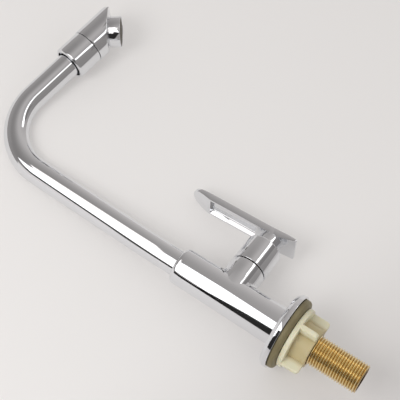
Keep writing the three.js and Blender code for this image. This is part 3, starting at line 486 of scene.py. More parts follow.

# %% [markdown]
# The fixing nut is moulded nylon, a cream plastic that lets a little light into itself. Its colour is
# darker near the axis and paler out on the wings and the disc: painted shade for the recesses between the
# wings. The gasket is an olive rubber with a dusty bloom, and the screen in the nozzle a brown-grey plastic.
# Each has a fine moulded grain. The colours could be flat, but a slow cloud between a darker and a lighter
# tone looks less like paint.


# %% Plastics, rubbers and ceramic
def make_moulded(name, dark, light, roughness, grain_scale, grain_depth):
    material, tree, shader = new_material(name, light, 0.0, roughness)
    cloud = noise_of(tree, 70.0, 4.0)
    tree.links.new(blend_colors(tree, cloud, dark, light), shader.inputs["Base Color"])
    grain = noise_of(tree, grain_scale, 2.0)
    tree.links.new(map_range(tree, grain, roughness - 0.06, roughness + 0.08), shader.inputs["Roughness"])
    add_bump(tree, shader, grain, grain_depth, 0.5)
    return material


def make_nylon(recess_shade_radius, unshaded_radius):
    """Cream nylon with painted shade: darker near the axis, in the recesses between the wings, paler further
    out.
    """
    material, tree, shader = new_material("cream_nylon", (0.66, 0.63, 0.46), 0.0, 0.38)
    cloud = noise_of(tree, 70.0, 4.0)
    # Painted shade: the darker colour near the axis stands for the shade between the wings.
    plain_cream = blend_colors(tree, cloud, (0.69, 0.65, 0.46), (0.78, 0.75, 0.57))
    painted_recess_shade = blend_colors(tree, cloud, (0.46, 0.37, 0.18), (0.57, 0.48, 0.27))
    reach = map_range(tree, distance_from_axis(tree), 0, 1, recess_shade_radius, unshaded_radius)
    tree.links.new(mix_colors(tree, reach, painted_recess_shade, plain_cream), shader.inputs["Base Color"])
    grain = noise_of(tree, 1400.0, 2.0)
    tree.links.new(map_range(tree, grain, 0.32, 0.46), shader.inputs["Roughness"])
    add_bump(tree, shader, grain, 0.01, 0.5)
    shader.inputs["Subsurface Weight"].default_value = 0.25
    shader.inputs["Subsurface Radius"].default_value = (1.0, 0.7, 0.4)
    shader.inputs["Subsurface Scale"].default_value = 2.0 * MM
    return material


# The nut's painted shade fades out between these two radii.
nylon = make_nylon(recess_shade_radius=13.2, unshaded_radius=16.5)
olive_rubber = make_moulded("olive_rubber", (0.12, 0.092, 0.038), (0.28, 0.24, 0.125), 0.50, 1800.0, 0.02)
black_rubber = make_moulded("black_rubber", (0.012, 0.012, 0.012), (0.03, 0.03, 0.03), 0.55, 1800.0, 0.01)
white_plastic = make_moulded("white_plastic", (0.70, 0.70, 0.68), (0.80, 0.80, 0.78), 0.40, 1400.0, 0.01)
screen_plastic = make_moulded("screen_plastic", (0.085, 0.075, 0.055), (0.15, 0.13, 0.1), 0.42, 1500.0, 0.01)
ceramic = make_moulded("white_ceramic", (0.84, 0.83, 0.80), (0.90, 0.89, 0.87), 0.18, 900.0, 0.003)
print("other finishes:", nylon.name, olive_rubber.name, screen_plastic.name)

# %% [markdown]
# Dressing a piece means the same few steps each time: it gets its finish, is shaded smooth up to an angle,
# rides on its body, and stands for the solid that it replaces.


# %% Helper: dress a piece
def dress(piece, material, body, replaced, smooth=35):
    piece.data.materials.clear()
    piece.data.materials.append(material)
    make_active(piece)
    bpy.ops.object.shade_smooth_by_angle(angle=math.radians(smooth))
    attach(piece, body)
    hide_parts(replaced)
    report_piece(piece)


# %% [markdown]
# The gasket is a flat rubber ring with a round edge, squeezed between the deck and the flange. A torus
# would give the round edge but no flat faces, so it is turned in one go, with the spigot that centres the
# flange.

# %% Gasket
GASKET_RADIUS = 24.8
GASKET_BULGE = 2.9
GASKET_HOLE = 11.6
SPIGOT_RADIUS = 22.6
SPIGOT_TOP = 5.5
gasket_outline = (
    [(GASKET_HOLE, 0.0)]
    + arc(21.4, 0.5, 0.5, -90, -50, 2)
    + arc(GASKET_RADIUS - GASKET_BULGE, GASKET_BULGE, GASKET_BULGE, -50, 0, 5)
    + [(GASKET_RADIUS, 4.2), (SPIGOT_RADIUS, 4.2), (SPIGOT_RADIUS, SPIGOT_TOP), (GASKET_HOLE, SPIGOT_TOP)]
)
gasket = turn_part("gasket", gasket_outline, 128, ring=True)
dress(gasket, olive_rubber, "tap_body", "base_gasket")

# %% [markdown]
# The flange is a spun foot: a thin standing rim, then a wide cone up to a flat top in which the body
# stands. The rim and the top edge catch the light, so both get small rounds of several steps.

# %% Flange
FLANGE_RADIUS = 26.35
FLANGE_TOP = 9.9
FLANGE_HOLE = 11.0
RIM_BOTTOM = 4.5
RECESS_RADIUS = 22.9
CONE_SLOPE = 41
EDGE_ROUND = 0.8
flange_outline = (
    [(FLANGE_HOLE, 5.9), (RECESS_RADIUS, 5.9), (RECESS_RADIUS, RIM_BOTTOM), (26.0, RIM_BOTTOM)]
    + arc(FLANGE_RADIUS - 0.3, RIM_BOTTOM + 0.3, 0.3, -90, 0, 3)
    + arc(FLANGE_RADIUS - EDGE_ROUND, 7.2, EDGE_ROUND, 0, CONE_SLOPE, 5)
    + arc(23.9, FLANGE_TOP - EDGE_ROUND, EDGE_ROUND, CONE_SLOPE, 90, 5)
    + [(13.8, FLANGE_TOP), (13.8, 9.1), (FLANGE_HOLE, 9.1)]
)
flange = turn_part("flange", flange_outline, 160, ring=True)
dress(flange, chrome, "tap_body", "base_flange", smooth=28)

# %% [markdown]
# The body is one casting: an upright column with a round arm for the valve. Column and arm are turned apart
# and joined with a boolean, and the corner between them gets the small fillet that a pattern maker would
# give it. The column has many rings near the arm, so that the cut faces stay short and the reflections stay
# clean.

# %% Body: column and arm
COLUMN_RADIUS = 13.5
COLUMN_TAPER = 0.7
COLUMN_RINGS = 20
TOP_ROUND = 3.0
SOCKET_RADIUS = 9.35
ARM_RADIUS = 12.8
ARM_END = 23.7
ARM_EDGE_ROUND = 0.5
ARM_MOUTH = 11.5
side_top = BODY_TOP - TOP_ROUND
column_side = [(COLUMN_RADIUS, BODY_BOTTOM)]
for i in range(1, COLUMN_RINGS):
    share = i / COLUMN_RINGS
    ring_height = BODY_BOTTOM + (side_top - BODY_BOTTOM) * share
    column_side.append((COLUMN_RADIUS - COLUMN_TAPER * share, ring_height))
column_outline = (
    column_side
    + arc(COLUMN_RADIUS - COLUMN_TAPER - TOP_ROUND, side_top, TOP_ROUND, 0, 90, 10)
    + [(SOCKET_RADIUS + 0.15, BODY_TOP), (SOCKET_RADIUS, BODY_TOP - 0.15), (SOCKET_RADIUS, BODY_TOP - 5)]
)
body = turn_part("body", column_outline, 128)
arm_outline = (
    [(ARM_RADIUS, along) for along in (2.0, 14.0, 18.0)]
    + arc(ARM_RADIUS - ARM_EDGE_ROUND, ARM_END - ARM_EDGE_ROUND, ARM_EDGE_ROUND, 0, 90, 4)
    + [(ARM_MOUTH, ARM_END), (ARM_MOUTH, 15.0)]
)
arm = turn_part("arm", arm_outline, 128)
place(arm, to_branch)
combine(body, arm, "UNION")


# %% Body: fillet where the arm leaves the column
def on_arm_root(end, other_end):
    middle = (end + other_end) / 2
    off_arm = math.hypot(middle.y, middle.z - BRANCH_HEIGHT) - ARM_RADIUS
    return 8 < middle.x < 14.5 and abs(off_arm) < 0.2


corner_edges = round_chosen_edges(body, on_arm_root, 2.2, 6, sharper_than=30)
clean_mesh(body, 0.01)
print("edges in the corner:", corner_edges)
dress(body, chrome, "tap_body", "body_casting", smooth=28)

# %% [markdown]
# The shank is a brass pipe with a coarse outside thread. One turn of the thread's profile is drawn as a
# short line of edges, from a plane whose corners are merged into one point, and the Screw modifier winds it
# up the pipe. The ends are cut square by bisecting, the lower one gets a chamfer, and the bore is drilled
# through.

# %% Shank: thread
SHANK_RADIUS = 10.4775
PITCH = 1.814
THREAD_DEPTH = 1.162
THREAD_TURNS = 30
SHANK_BOTTOM = -50.9
profile = [
    (SHANK_RADIUS - THREAD_DEPTH * depth, share * PITCH)
    for depth, share in (
        (1.0, 0.0), (0.93, 0.10), (0.10, 0.42), (0.0, 0.5), (0.10, 0.58), (0.93, 0.90), (1.0, 1.0)
    )
]
deselect_all()
bpy.ops.mesh.primitive_plane_add(size=1)
shank = bpy.context.object
shank.name = "shank"
start_edit(shank, "SELECT", "VERT")
bpy.ops.mesh.merge(type="CENTER")
start_height = SHANK_BOTTOM - 2 * PITCH
bpy.ops.transform.translate(value=(profile[0][0] * MM, 0, start_height * MM))
for (radius, height), (next_radius, next_height) in zip(profile, profile[1:]):
    step = ((next_radius - radius) * MM, 0, (next_height - height) * MM)
    bpy.ops.mesh.extrude_region_move(TRANSFORM_OT_translate={"value": step})
end_edit()
apply_modifier(
    shank, "SCREW", axis="Z", screw_offset=PITCH * MM, iterations=THREAD_TURNS, steps=72, render_steps=72,
    use_merge_vertices=True, merge_threshold=0.001 * MM, use_normal_calculate=False,
)
clean_mesh(shank, 0.002)
print("thread:", len(shank.data.polygons), "faces")

# %% Shank: ends and bore
THREAD_TOP = -0.3
SHANK_TOP = 21.8
CHAMFER = 0.9
BORE_RADIUS = 7.5
BORE_CHAMFER = 0.8


def cut_across(piece, height, keep_above):
    start_edit(piece)
    bpy.ops.mesh.bisect(
        plane_co=(0, 0, height * MM), plane_no=(0, 0, 1), use_fill=True,
        clear_inner=keep_above, clear_outer=not keep_above,
    )
    end_edit()


cut_across(shank, SHANK_BOTTOM, keep_above=True)
cut_across(shank, THREAD_TOP, keep_above=False)
clean_mesh(shank, 0.002)
chamfer_outline = [
    (SHANK_RADIUS - CHAMFER - 1, SHANK_BOTTOM - 1),
    (SHANK_RADIUS + 2, SHANK_BOTTOM + CHAMFER + 2),
    (SHANK_RADIUS + 2, 2),
]
combine(shank, turn_part("chamfer", chamfer_outline, 144), "INTERSECT")
plain_radius = SHANK_RADIUS + 0.03
plain_part = [
    (plain_radius, THREAD_TOP - 0.3), (plain_radius, SHANK_TOP - 0.5), (plain_radius - 0.5, SHANK_TOP)
]
combine(shank, turn_part("plain_part", plain_part, 144), "UNION")
bore_outline = [
    (BORE_RADIUS + BORE_CHAMFER, SHANK_BOTTOM - 1),
    (BORE_RADIUS + BORE_CHAMFER, SHANK_BOTTOM),
    (BORE_RADIUS, SHANK_BOTTOM + BORE_CHAMFER),
    (BORE_RADIUS, SHANK_TOP + 1),
]
combine(shank, turn_part("bore", bore_outline), "DIFFERENCE")
clean_mesh(shank, 0.002)
dress(shank, thread_brass, "tap_body", "inlet_shank", smooth=40)

# %% [markdown]
# The fixing nut is made to be turned by hand: a disc that presses on the underside of the deck, a sleeve
# with the thread and four wings. Disc and sleeve are turned. Each wing is shaped from a block: its outer
# lower corner is rounded, then its edges get the soft rounds of moulded nylon, and it is turned to its
# place and joined.

# %% Fixing nut
NUT_TOP = -0.3
NUT_BOTTOM = -15.7
NUT_TURN = -6
NUT_BORE = 10.9
DISC_BOTTOM = -3.7
SOFT_ROUND = 0.6
WING_SIZE = (9.2, 3.4, 13.0)
WING_CENTRE = (16.1, 0, NUT_BOTTOM + 6.6)
disc_outline = (
    arc(20.4, DISC_BOTTOM + SOFT_ROUND, SOFT_ROUND, -90, 0, 3)
    + arc(20.4, NUT_TOP - SOFT_ROUND, SOFT_ROUND, 0, 90, 3)
    + [(12.0, NUT_TOP)]
)
nut = turn_part("fixing_nut", disc_outline, 128)
sleeve_outline = arc(12.9, NUT_BOTTOM + SOFT_ROUND, SOFT_ROUND, -90, 0, 3) + [(13.5, -1.0)]
combine(nut, turn_part("nut_sleeve", sleeve_outline), "UNION")


def at_outer_lower_corner(end, other_end):
    return min(end.x, other_end.x) > 20 and max(end.z, other_end.z) < NUT_BOTTOM + 1


for number in range(4):
    wing = solid_block(f"wing_{number}", WING_SIZE, WING_CENTRE)
    round_chosen_edges(wing, at_outer_lower_corner, 2.2, 5)
    bevel_edges(wing, 0.55)
    place(wing, turned(90 * number, "Z"))
    combine(nut, wing, "UNION")
combine(nut, round_bar("nut_bore", NUT_BORE, NUT_BOTTOM - 1, NUT_TOP + 1), "DIFFERENCE")
clean_mesh(nut)
place(nut, turned(NUT_TURN, "Z"))
dress(nut, nylon, "mounting_nut", "mounting_nut", smooth=30)

# %% [markdown]
# The lever is a hub with a blade across its end. One edge of a plane is the blade's square lower end. It is
# extruded rung by rung, up to the round tip, and each rung is resized to the outline, as on a ladder. Then
# the whole sheet gets its thickness, and its two square corners are rounded.

# %% Lever: outline of the blade
BLADE_REACH = 53.3
BLADE_THICKNESS = 5.0
BLADE_CROWN = 0.6
HALF_WIDTH = 7.85
FLARE_HALF_WIDTH = 10.1
FLARE_TOP = BRANCH_HEIGHT + 10.0
FLARE_LENGTH = 27.3
BLADE_TOP = BRANCH_HEIGHT + 64.9
TIP_LENGTH = 15.0
TIP_POWER = 2.5
TIP_ANGLES = (0, 8, 16, 24, 32, 40, 48, 55, 61, 67, 72, 77, 81, 84, 86.5, 88.5)
blade_bottom = FLARE_TOP - FLARE_LENGTH
rungs = []
for i in range(13):
    share = 1 - i / 12
    half_width = HALF_WIDTH + (FLARE_HALF_WIDTH - HALF_WIDTH) * share * share
    rungs.append((FLARE_TOP - FLARE_LENGTH * share, half_width))
for angle in TIP_ANGLES:
    length_share = math.sin(math.radians(angle)) ** (2 / TIP_POWER)
    width_share = math.cos(math.radians(angle)) ** (2 / TIP_POWER)
    rungs.append((BLADE_TOP - TIP_LENGTH * (1 - length_share), HALF_WIDTH * width_share))
print("rungs of the blade:", len(rungs))

# %% Lever: the blade
deselect_all()
bpy.ops.mesh.primitive_plane_add(size=1)
lever = bpy.context.object
lever.name = "lever"
edit_chosen(lever, "VERT", lambda vertex: vertex.co.x > 0)
bpy.ops.mesh.delete(type="VERT")
bpy.ops.mesh.select_all(action="SELECT")
first_middle = (BLADE_REACH * MM, 0, blade_bottom * MM)
bpy.ops.transform.translate(value=(0.5 + first_middle[0], 0, first_middle[2]))
bpy.ops.transform.resize(value=(1, 2 * FLARE_HALF_WIDTH * MM, 1), center_override=first_middle)
for (height, width), (next_height, next_width) in zip(rungs, rungs[1:]):
    step = (0, 0, (next_height - height) * MM)
    bpy.ops.mesh.extrude_region_move(TRANSFORM_OT_translate={"value": step})
    middle = (BLADE_REACH * MM, 0, next_height * MM)
    bpy.ops.transform.resize(value=(1, next_width / width, 1), center_override=middle)
bpy.ops.mesh.select_all(action="SELECT")
thickness = BLADE_THICKNESS + BLADE_CROWN
bpy.ops.mesh.extrude_region_move(TRANSFORM_OT_translate={"value": (thickness * MM, 0, 0)})
end_edit()
clean_mesh(lever, 0.001)


def at_square_corner(end, other_end):
    low_enough = max(end.z, other_end.z) < blade_bottom + 0.01
    return low_enough and abs(end.x - other_end.x) > 1


print("square corners rounded:", round_chosen_edges(lever, at_square_corner, 1.3, 5))

# %% [markdown]
# The real blade is thin at both ends and a little crowned on its outer face. Two planes take a wedge off
# the inner side at either end, and a third one off the outer side below. What stays is kept to a large
# cylinder, whose curve is the crown.

# %% Lever: thin ends and crowned face
WEDGE_LENGTH = 12.3
WEDGE_CUT = 2.0
TIP_CUT = 3.5
OUTER_WEDGE_LENGTH = 14.0
OUTER_WEDGE_CUT = 1.8


def slice_off(piece, point, normal):
    """Cuts away what lies on the side of a plane that its normal points to. The point is in millimetres."""
    start_edit(piece)
    bpy.ops.mesh.bisect(
        plane_co=[c * MM for c in point], plane_no=normal, use_fill=True,
        clear_inner=False, clear_outer=True,
    )
    end_edit()


wedge_slope = math.atan2(WEDGE_CUT, WEDGE_LENGTH)
wedge_normal = (-math.cos(wedge_slope), 0, -math.sin(wedge_slope))
slice_off(lever, (BLADE_REACH, 0, blade_bottom + WEDGE_LENGTH), wedge_normal)
tip_slope = math.atan2(TIP_CUT, TIP_LENGTH)
tip_normal = (-math.cos(tip_slope), 0, math.sin(tip_slope))
slice_off(lever, (BLADE_REACH, 0, BLADE_TOP - TIP_LENGTH + 0.4), tip_normal)
outer_reach = BLADE_REACH + BLADE_THICKNESS + BLADE_CROWN
outer_slope = math.atan2(OUTER_WEDGE_CUT, OUTER_WEDGE_LENGTH)
outer_normal = (math.cos(outer_slope), 0, -math.sin(outer_slope))
slice_off(lever, (outer_reach, 0, blade_bottom + OUTER_WEDGE_LENGTH), outer_normal)
crown_radius = (HALF_WIDTH**2 + BLADE_CROWN**2) / (2 * BLADE_CROWN)
deselect_all()
bpy.ops.mesh.primitive_cylinder_add(
    vertices=720, radius=crown_radius * MM, depth=160 * MM,
    location=((outer_reach - crown_radius) * MM, 0, (BRANCH_HEIGHT + 20) * MM),
)
combine(lever, bpy.context.object, "INTERSECT")
clean_mesh(lever, 0.002)
report_piece(lever)

# %% [markdown]
# The long pocket in the inner face has sloping walls, as a cast pocket needs them to leave its mould. It is
# cut with a block whose far face is a little smaller and whose edges are rounded.

# %% Lever: pocket
POCKET_BOTTOM = BRANCH_HEIGHT + 12.3
POCKET_LENGTH = 37.2
POCKET_DEPTH = 3.8
POCKET_MARGIN = 1
CUTTER_OVERHANG = 1
FLOOR_SHARES = (1, 0.82, 0.93)
pocket_middle = POCKET_BOTTOM + POCKET_LENGTH / 2
pocket = solid_block(
    "pocket", (POCKET_DEPTH + CUTTER_OVERHANG, 2 * (HALF_WIDTH - POCKET_MARGIN), POCKET_LENGTH),
    (BLADE_REACH + (POCKET_DEPTH - CUTTER_OVERHANG) / 2, 0, pocket_middle),
)
edit_chosen(pocket, "FACE", lambda face: face.normal.x > 0.9)
floor_middle = ((BLADE_REACH + POCKET_DEPTH) * MM, 0, pocket_middle * MM)
bpy.ops.transform.resize(value=FLOOR_SHARES, center_override=floor_middle)
end_edit()
bevel_edges(pocket, 0.5, 3, 30)
combine(lever, pocket, "DIFFERENCE")
bevel_edges(lever, 0.22, 2, 30)
clean_mesh(lever, 0.002)
report_piece(lever)

# %% [markdown]
# The hub is a turned cap over the headwork. It starts just past the end of the arm and narrows to a neck
# behind the blade.

# %% Lever: hub
HUB_RADIUS = 12.7
HUB_HOLLOW = 10.3
HUB_BACK = 24.6
HUB_FRONT = 45.6
NECK_RADIUS = 8.2
PLUG_HOLE = 3.9
hub_outline = (
    [(HUB_HOLLOW, 42.0), (HUB_HOLLOW, HUB_BACK)]
    + arc(HUB_RADIUS - 0.5, HUB_BACK + 0.5, 0.5, -90, 0, 4)
    + arc(HUB_RADIUS - 1.6, HUB_FRONT - 1.6, 1.6, 0, 90, 6)
    + arc(NECK_RADIUS + 0.3, HUB_FRONT + 0.3, 0.3, -90, -180, 3)
    + [(NECK_RADIUS, BLADE_REACH + 0.6)]
)
hub = turn_part("hub", hub_outline, 128)
place(hub, to_branch)
combine(lever, hub, "UNION")
plug_hole = round_bar("plug_hole", PLUG_HOLE, 54.0, 60.0, 64)
place(plug_hole, to_branch)
combine(lever, plug_hole, "DIFFERENCE")
clean_mesh(lever, 0.002)
place(lever, lever_turn)
dress(lever, chrome, "handle", "handle_lever", smooth=30)

# %% [markdown]
# A small domed plug closes the hole over the screw that holds the lever on its spindle. It is turned, like
# the round parts before it.

# %% Screw plug
plug_outline = [(3.6, 54.5)] + arc(3.3, 58.6, 0.3, 0, 90, 3) + [(1.8, 59.0), (0.4, 59.05)]
plug = turn_part("plug", plug_outline, 48)
place(plug, lever_turn @ to_branch)
dress(plug, chrome, "handle", "screw_plug")

# %% [markdown]
# The spout is one chromed tube. A circle is pushed up the straight rise, spun a touch to lean forward,
# pushed on, spun round the big bend and pushed out to the head. A curve with a round section would do too,
# but spinning a ring about the centre of the bend is what a bender does, and it keeps the tube round.

# %% Spout tube
TUBE_FACETS = 72
TUBE_IN_SLEEVE = 8.6
deselect_all()
bpy.ops.mesh.primitive_circle_add(vertices=TUBE_FACETS, radius=TUBE_RADIUS * MM, fill_type="NOTHING")
tube = bpy.context.object
tube.name = "spout_pipe"
start_edit(tube, "SELECT", "VERT")
bpy.ops.transform.translate(value=(0, 0, TUBE_BOTTOM * MM))


def push_along(length, angle, steps):
    for _ in range(steps):
        part = length / steps * MM
        step = (part * math.sin(angle), 0, part * math.cos(angle))
        bpy.ops.mesh.extrude_region_move(TRANSFORM_OT_translate={"value": step})


push_along(STRAIGHT_RISE, 0.0, 2)
lean_centre = (LEAN_RADIUS * MM, 0, (TUBE_BOTTOM + STRAIGHT_RISE) * MM)
bpy.ops.mesh.spin(steps=4, angle=-lean, center=lean_centre, axis=(0, 1, 0))
push_along(leaning_length, lean, 8)
spin_centre = (bend_centre[0] * MM, 0, bend_centre[1] * MM)
bpy.ops.mesh.spin(steps=64, angle=-math.radians(BEND), center=spin_centre, axis=(0, 1, 0))
push_along(SLEEVE_START + TUBE_IN_SLEEVE, head_lean, 6)
end_edit()
apply_modifier(tube, "SOLIDIFY", thickness=TUBE_WALL * MM, offset=1.0, use_rim=True)
clean_mesh(tube, 0.002)
far_end = max(tube.data.vertices, key=lambda v: v.co.x).co / MM
print("far end of the tube:", [round(c, 1) for c in far_end])
place(tube, to_spout)
dress(tube, chrome, "spout", "spout_tube")

# %% [markdown]
# The sleeve is the fixed half of the outlet head. Its mouth is wider than the tube, which leaves the dark
# ring that the photograph shows, and its lip is wide and round.

# %% Head sleeve
SLEEVE_RADIUS = 12.9
SLEEVE_END = 55.0
SLEEVE_MOUTH = 10.6
LIP_ROUND = 1.9
MOUTH_ROUND = 0.4
sleeve_outline = (
    [(9.3, 41.0), (SLEEVE_MOUTH, 41.0)]
    + arc(SLEEVE_MOUTH + MOUTH_ROUND, SLEEVE_START + MOUTH_ROUND, MOUTH_ROUND, 180, 270, 4)
    + arc(SLEEVE_RADIUS - LIP_ROUND, SLEEVE_START + LIP_ROUND, LIP_ROUND, -90, 0, 9)
    + [(SLEEVE_RADIUS, 45.0)]
    + arc(SLEEVE_RADIUS - 0.2, SLEEVE_END - 0.2, 0.2, 0, 90, 3)
    + [(9.4, SLEEVE_END), (9.4, 46.4), (9.3, 44.6)]
)
sleeve = turn_part("sleeve", sleeve_outline, 128, ring=True)
place(sleeve, to_head)
dress(sleeve, chrome, "spout", "head_sleeve")

# %% [markdown]
# The mitred half turns on the sleeve. It is a plain round bar whose end is sliced at a slant, with the
# sharp tip trimmed round about the nozzle. The trim is a block with a round hole, so that only what stands
# past the hole is taken off. A fine bevel along the slanted edge catches a thin line of light.

# %% Mitred head
TRIM_RADIUS = 18.0
SEAT_RADIUS = 8.9
slant = math.radians(MITRE_ANGLE)
head_outline = (
    [(9.0, 47.0), (9.0, 55.4)]
    + arc(12.95, 55.7, 0.3, -90, 0, 3)
    + [(HEAD_RADIUS, 62.0 + 6.0 * i) for i in range(9)]
)
mitred_head = turn_part("mitred_head", head_outline, 128)
slice_off(mitred_head, (0, 0, MITRE_ON_AXIS), (math.sin(slant), 0, math.cos(slant)))
trim = solid_block("trim", (30, 60, 20), (-15, 0, 0))
combine(trim, round_bar("kept", TRIM_RADIUS, -40, 40, 256), "DIFFERENCE")
nozzle_seat = round_bar("nozzle_seat", SEAT_RADIUS, -6.0, 4.0)
for cutter in (trim, nozzle_seat):
    place(cutter, nozzle_in_head)
    combine(mitred_head, cutter, "DIFFERENCE")
bevel_edges(mitred_head, 0.55, 4, 35, clamp=False)
clean_mesh(mitred_head, 0.002)
place(mitred_head, to_head)
dress(mitred_head, chrome, "outlet_head", "mitre_head", smooth=28)

# %% [markdown]
# The nozzle is a short chromed cup on a narrower neck, so that a dark line parts it from the slanted face.

# %% Nozzle
NOZZLE_RADIUS = 11.35
NOZZLE_END = 8.9
CUP_RADIUS = 10.4
WATERWAY_RADIUS = 6.5
RIM_ROUND = 0.25
nozzle_outline = (
    [(WATERWAY_RADIUS, -5.3), (8.5, -5.3), (8.5, 0.2), (CUP_RADIUS, 0.2), (CUP_RADIUS, 0.75), (11.1, 0.75)]
    + arc(NOZZLE_RADIUS - 0.3, 1.05, 0.3, -90, 0, 3)
    + [(NOZZLE_RADIUS, 5.0)]
    + arc(NOZZLE_RADIUS - RIM_ROUND, NOZZLE_END - RIM_ROUND, RIM_ROUND, 0, 90, 4)
    + arc(10.9, NOZZLE_END - RIM_ROUND, RIM_ROUND, 90, 180, 3)
    + [(10.65, 8.2), (CUP_RADIUS, 7.8), (CUP_RADIUS, 2.0), (WATERWAY_RADIUS, 2.0)]
)
nozzle = turn_part("nozzle", nozzle_outline, 128, ring=True)
place(nozzle, to_nozzle)
dress(nozzle, chrome, "outlet_head", "nozzle_shell")

# %% [markdown]
# The screen is a thin moulded disc pierced all over. Cutting a hundred holes with booleans would be slow,
# so one small hexagonal cell is drawn as a ring of six faces round its hole and copied in a triangular
# grid, and a plain rim goes round them.

# %% Outlet screen: one cell
CELL = 1.5
CELL_WALL = 0.34
GRID_RADIUS = 8.7
deselect_all()
bpy.ops.mesh.primitive_circle_add(
    vertices=6, radius=CELL / math.sqrt(3) * MM, fill_type="NGON", rotation=(0, 0, math.pi / 6)
)
bpy.ops.object.transform_apply(location=False, rotation=True, scale=False)
cell = bpy.context.object
cell.name = "screen_cell"
start_edit(cell)
bpy.ops.mesh.inset(thickness=CELL_WALL * MM)
bpy.ops.mesh.delete(type="FACE")
end_edit()

# %% Outlet screen: grid and rim
SCREEN_MIDDLE = 7.9
SCREEN_THICKNESS = 0.8
RIM_RADIUS = 10.1
row_height = CELL * math.cos(math.radians(30))
cells = []
for row in range(-7, 8):
    for column in range(-7, 8):
        x = (column + 0.5 * (row % 2)) * CELL
        y = row * row_height
        if math.hypot(x, y) < GRID_RADIUS:
            copy = cell.copy()
            copy.data = cell.data.copy()
            copy.data.transform(moved(x, y, 0))
            bpy.context.collection.objects.link(copy)
            cells.append(copy)
bpy.data.objects.remove(cell)


def join_into(target, others):
    deselect_all()
    for piece in (target, *others):
        piece.select_set(True)
    bpy.context.view_layer.objects.active = target
    bpy.ops.object.join()


print("cells in the screen:", len(cells))
screen = cells[0]
join_into(screen, cells[1:])
screen.name = "screen"
clean_mesh(screen, 0.02)
apply_modifier(screen, "SOLIDIFY", thickness=SCREEN_THICKNESS * MM, offset=0.0, use_rim=True)
rim_outline = [(GRID_RADIUS, -0.5), (RIM_RADIUS, -0.5), (RIM_RADIUS, 0.6), (9.6, 0.6), (GRID_RADIUS, 0.2)]
join_into(screen, [turn_part("screen_rim", rim_outline, ring=True)])
place(screen, to_nozzle @ moved(0, 0, SCREEN_MIDDLE))
dress(screen, screen_plastic, "outlet_head", "outlet_screen")

# %% [markdown]
# The pieces inside the tap keep the shape of their solids. They hardly show, but each gets the finish of
# its kind, so that the tap can be taken apart.

# %% Finishes of the inner pieces
inner_finishes = {
    brass: ("headwork_bonnet", "spindle", "spout_tail"),
    steel: ("handle_screw", "spindle_clip", "spout_snap_ring", "head_snap_ring"),
    black_rubber: (
        "shank_seal", "seat_seal", "bonnet_oring", "spindle_oring", "spout_oring_lower",
        "spout_oring_upper", "head_oring", "aerator_washer",
    ),
    white_plastic: ("spout_glide_ring", "aerator_insert"),
    ceramic: ("fixed_disc", "moving_disc"),
}
for material, names in inner_finishes.items():
    for name in names:
        node = nodes[name]
        node.data.materials.clear()
        node.data.materials.append(material)
print("inner pieces:", sum(len(names) for names in inner_finishes.values()))

# %% [markdown]
# The tap lies on a pale sheet. It rests on the rim of its flange, and nearly on the lever's edge and the
# outlet head, so the sheet is a plane that touches the flange and passes just behind the other two.

# %% Pale sheet: plane
SHEET_SIZE_M = 3.0
SHEET_DISTANCE = 26.9
sheet_normal = Vector((-0.07, -0.9914, -0.11)).normalized()
deselect_all()
bpy.ops.mesh.primitive_plane_add(size=SHEET_SIZE_M)
sheet = bpy.context.object
sheet.name = "pale_sheet"
sheet.matrix_world = (
    Matrix.Translation(-sheet_normal * SHEET_DISTANCE * MM)
    @ sheet_normal.to_track_quat("Z", "Y").to_matrix().to_4x4()
)
print("the sheet faces", [round(c, 3) for c in sheet_normal])

# %% [markdown]
# The sheet looks like matt paper. Its colour dims toward the picture's lower right corner: painted shade for
# the light falling off there. It also glows a little where the camera and the metal see it, which keeps it
# as pale as the real one and leaves its shadows soft. Seen from behind, it is left clear, so that the tap
# can be looked at from every side.

# %% Pale sheet: paper
PALE_PAPER = (0.835, 0.81, 0.795)
PAINTED_SHADE_PAPER = (0.64, 0.615, 0.605)
DIM_START = 60.0
DIM_LENGTH = 160.0
GLOW_STRENGTH = 0.96
GLOW_SHARE = 0.34
paper_material, tree, shader = new_material("pale_sheet", (0.80, 0.775, 0.76), 0.0, 0.6)
sheet.data.materials.append(paper_material)
surface = tree.nodes.new("ShaderNodeNewGeometry")
to_corner = right * 0.5 - up * 0.866
dim_start = to_corner.dot(look_at) / MM + DIM_START
reach = reach_along(tree, surface.outputs["Position"], to_corner / MM)
# Painted shade: the paper colour darkens toward the lower right, as if the light fell off there.
painted_falloff = map_range(tree, reach, 0, 1, dim_start, dim_start + DIM_LENGTH, smooth=True)
paper = blend_colors(tree, painted_falloff, PALE_PAPER, PAINTED_SHADE_PAPER)
tree.links.new(paper, shader.inputs["Base Color"])
glow = tree.nodes.new("ShaderNodeEmission")
glow.inputs["Strength"].default_value = GLOW_STRENGTH
tree.links.new(paper, glow.inputs["Color"])
sight = tree.nodes.new("ShaderNodeLightPath")
seen = math_node(tree, "MAXIMUM", sight.outputs["Is Camera Ray"], sight.outputs["Is Glossy Ray"])
glow_share = math_node(tree, "MULTIPLY", seen, GLOW_SHARE)
print("paper dims over", DIM_LENGTH, "mm")


# %% Pale sheet: glow in front, clear behind
def mix_shaders(tree, share, first, second):
    mix = tree.nodes.new("ShaderNodeMixShader")
    tree.links.new(share, mix.inputs["Fac"])
    tree.links.new(first, mix.inputs[1])
    tree.links.new(second, mix.inputs[2])
    return mix.outputs["Shader"]


clear = tree.nodes.new("ShaderNodeBsdfTransparent")
lifted = mix_shaders(tree, glow_share, shader.outputs["BSDF"], glow.outputs["Emission"])
one_sided = mix_shaders(tree, surface.outputs["Backfacing"], lifted, clear.outputs["BSDF"])
tree.links.new(one_sided, tree.nodes["Material Output"].inputs["Surface"])
print("paper:", len(tree.nodes), "shader nodes")

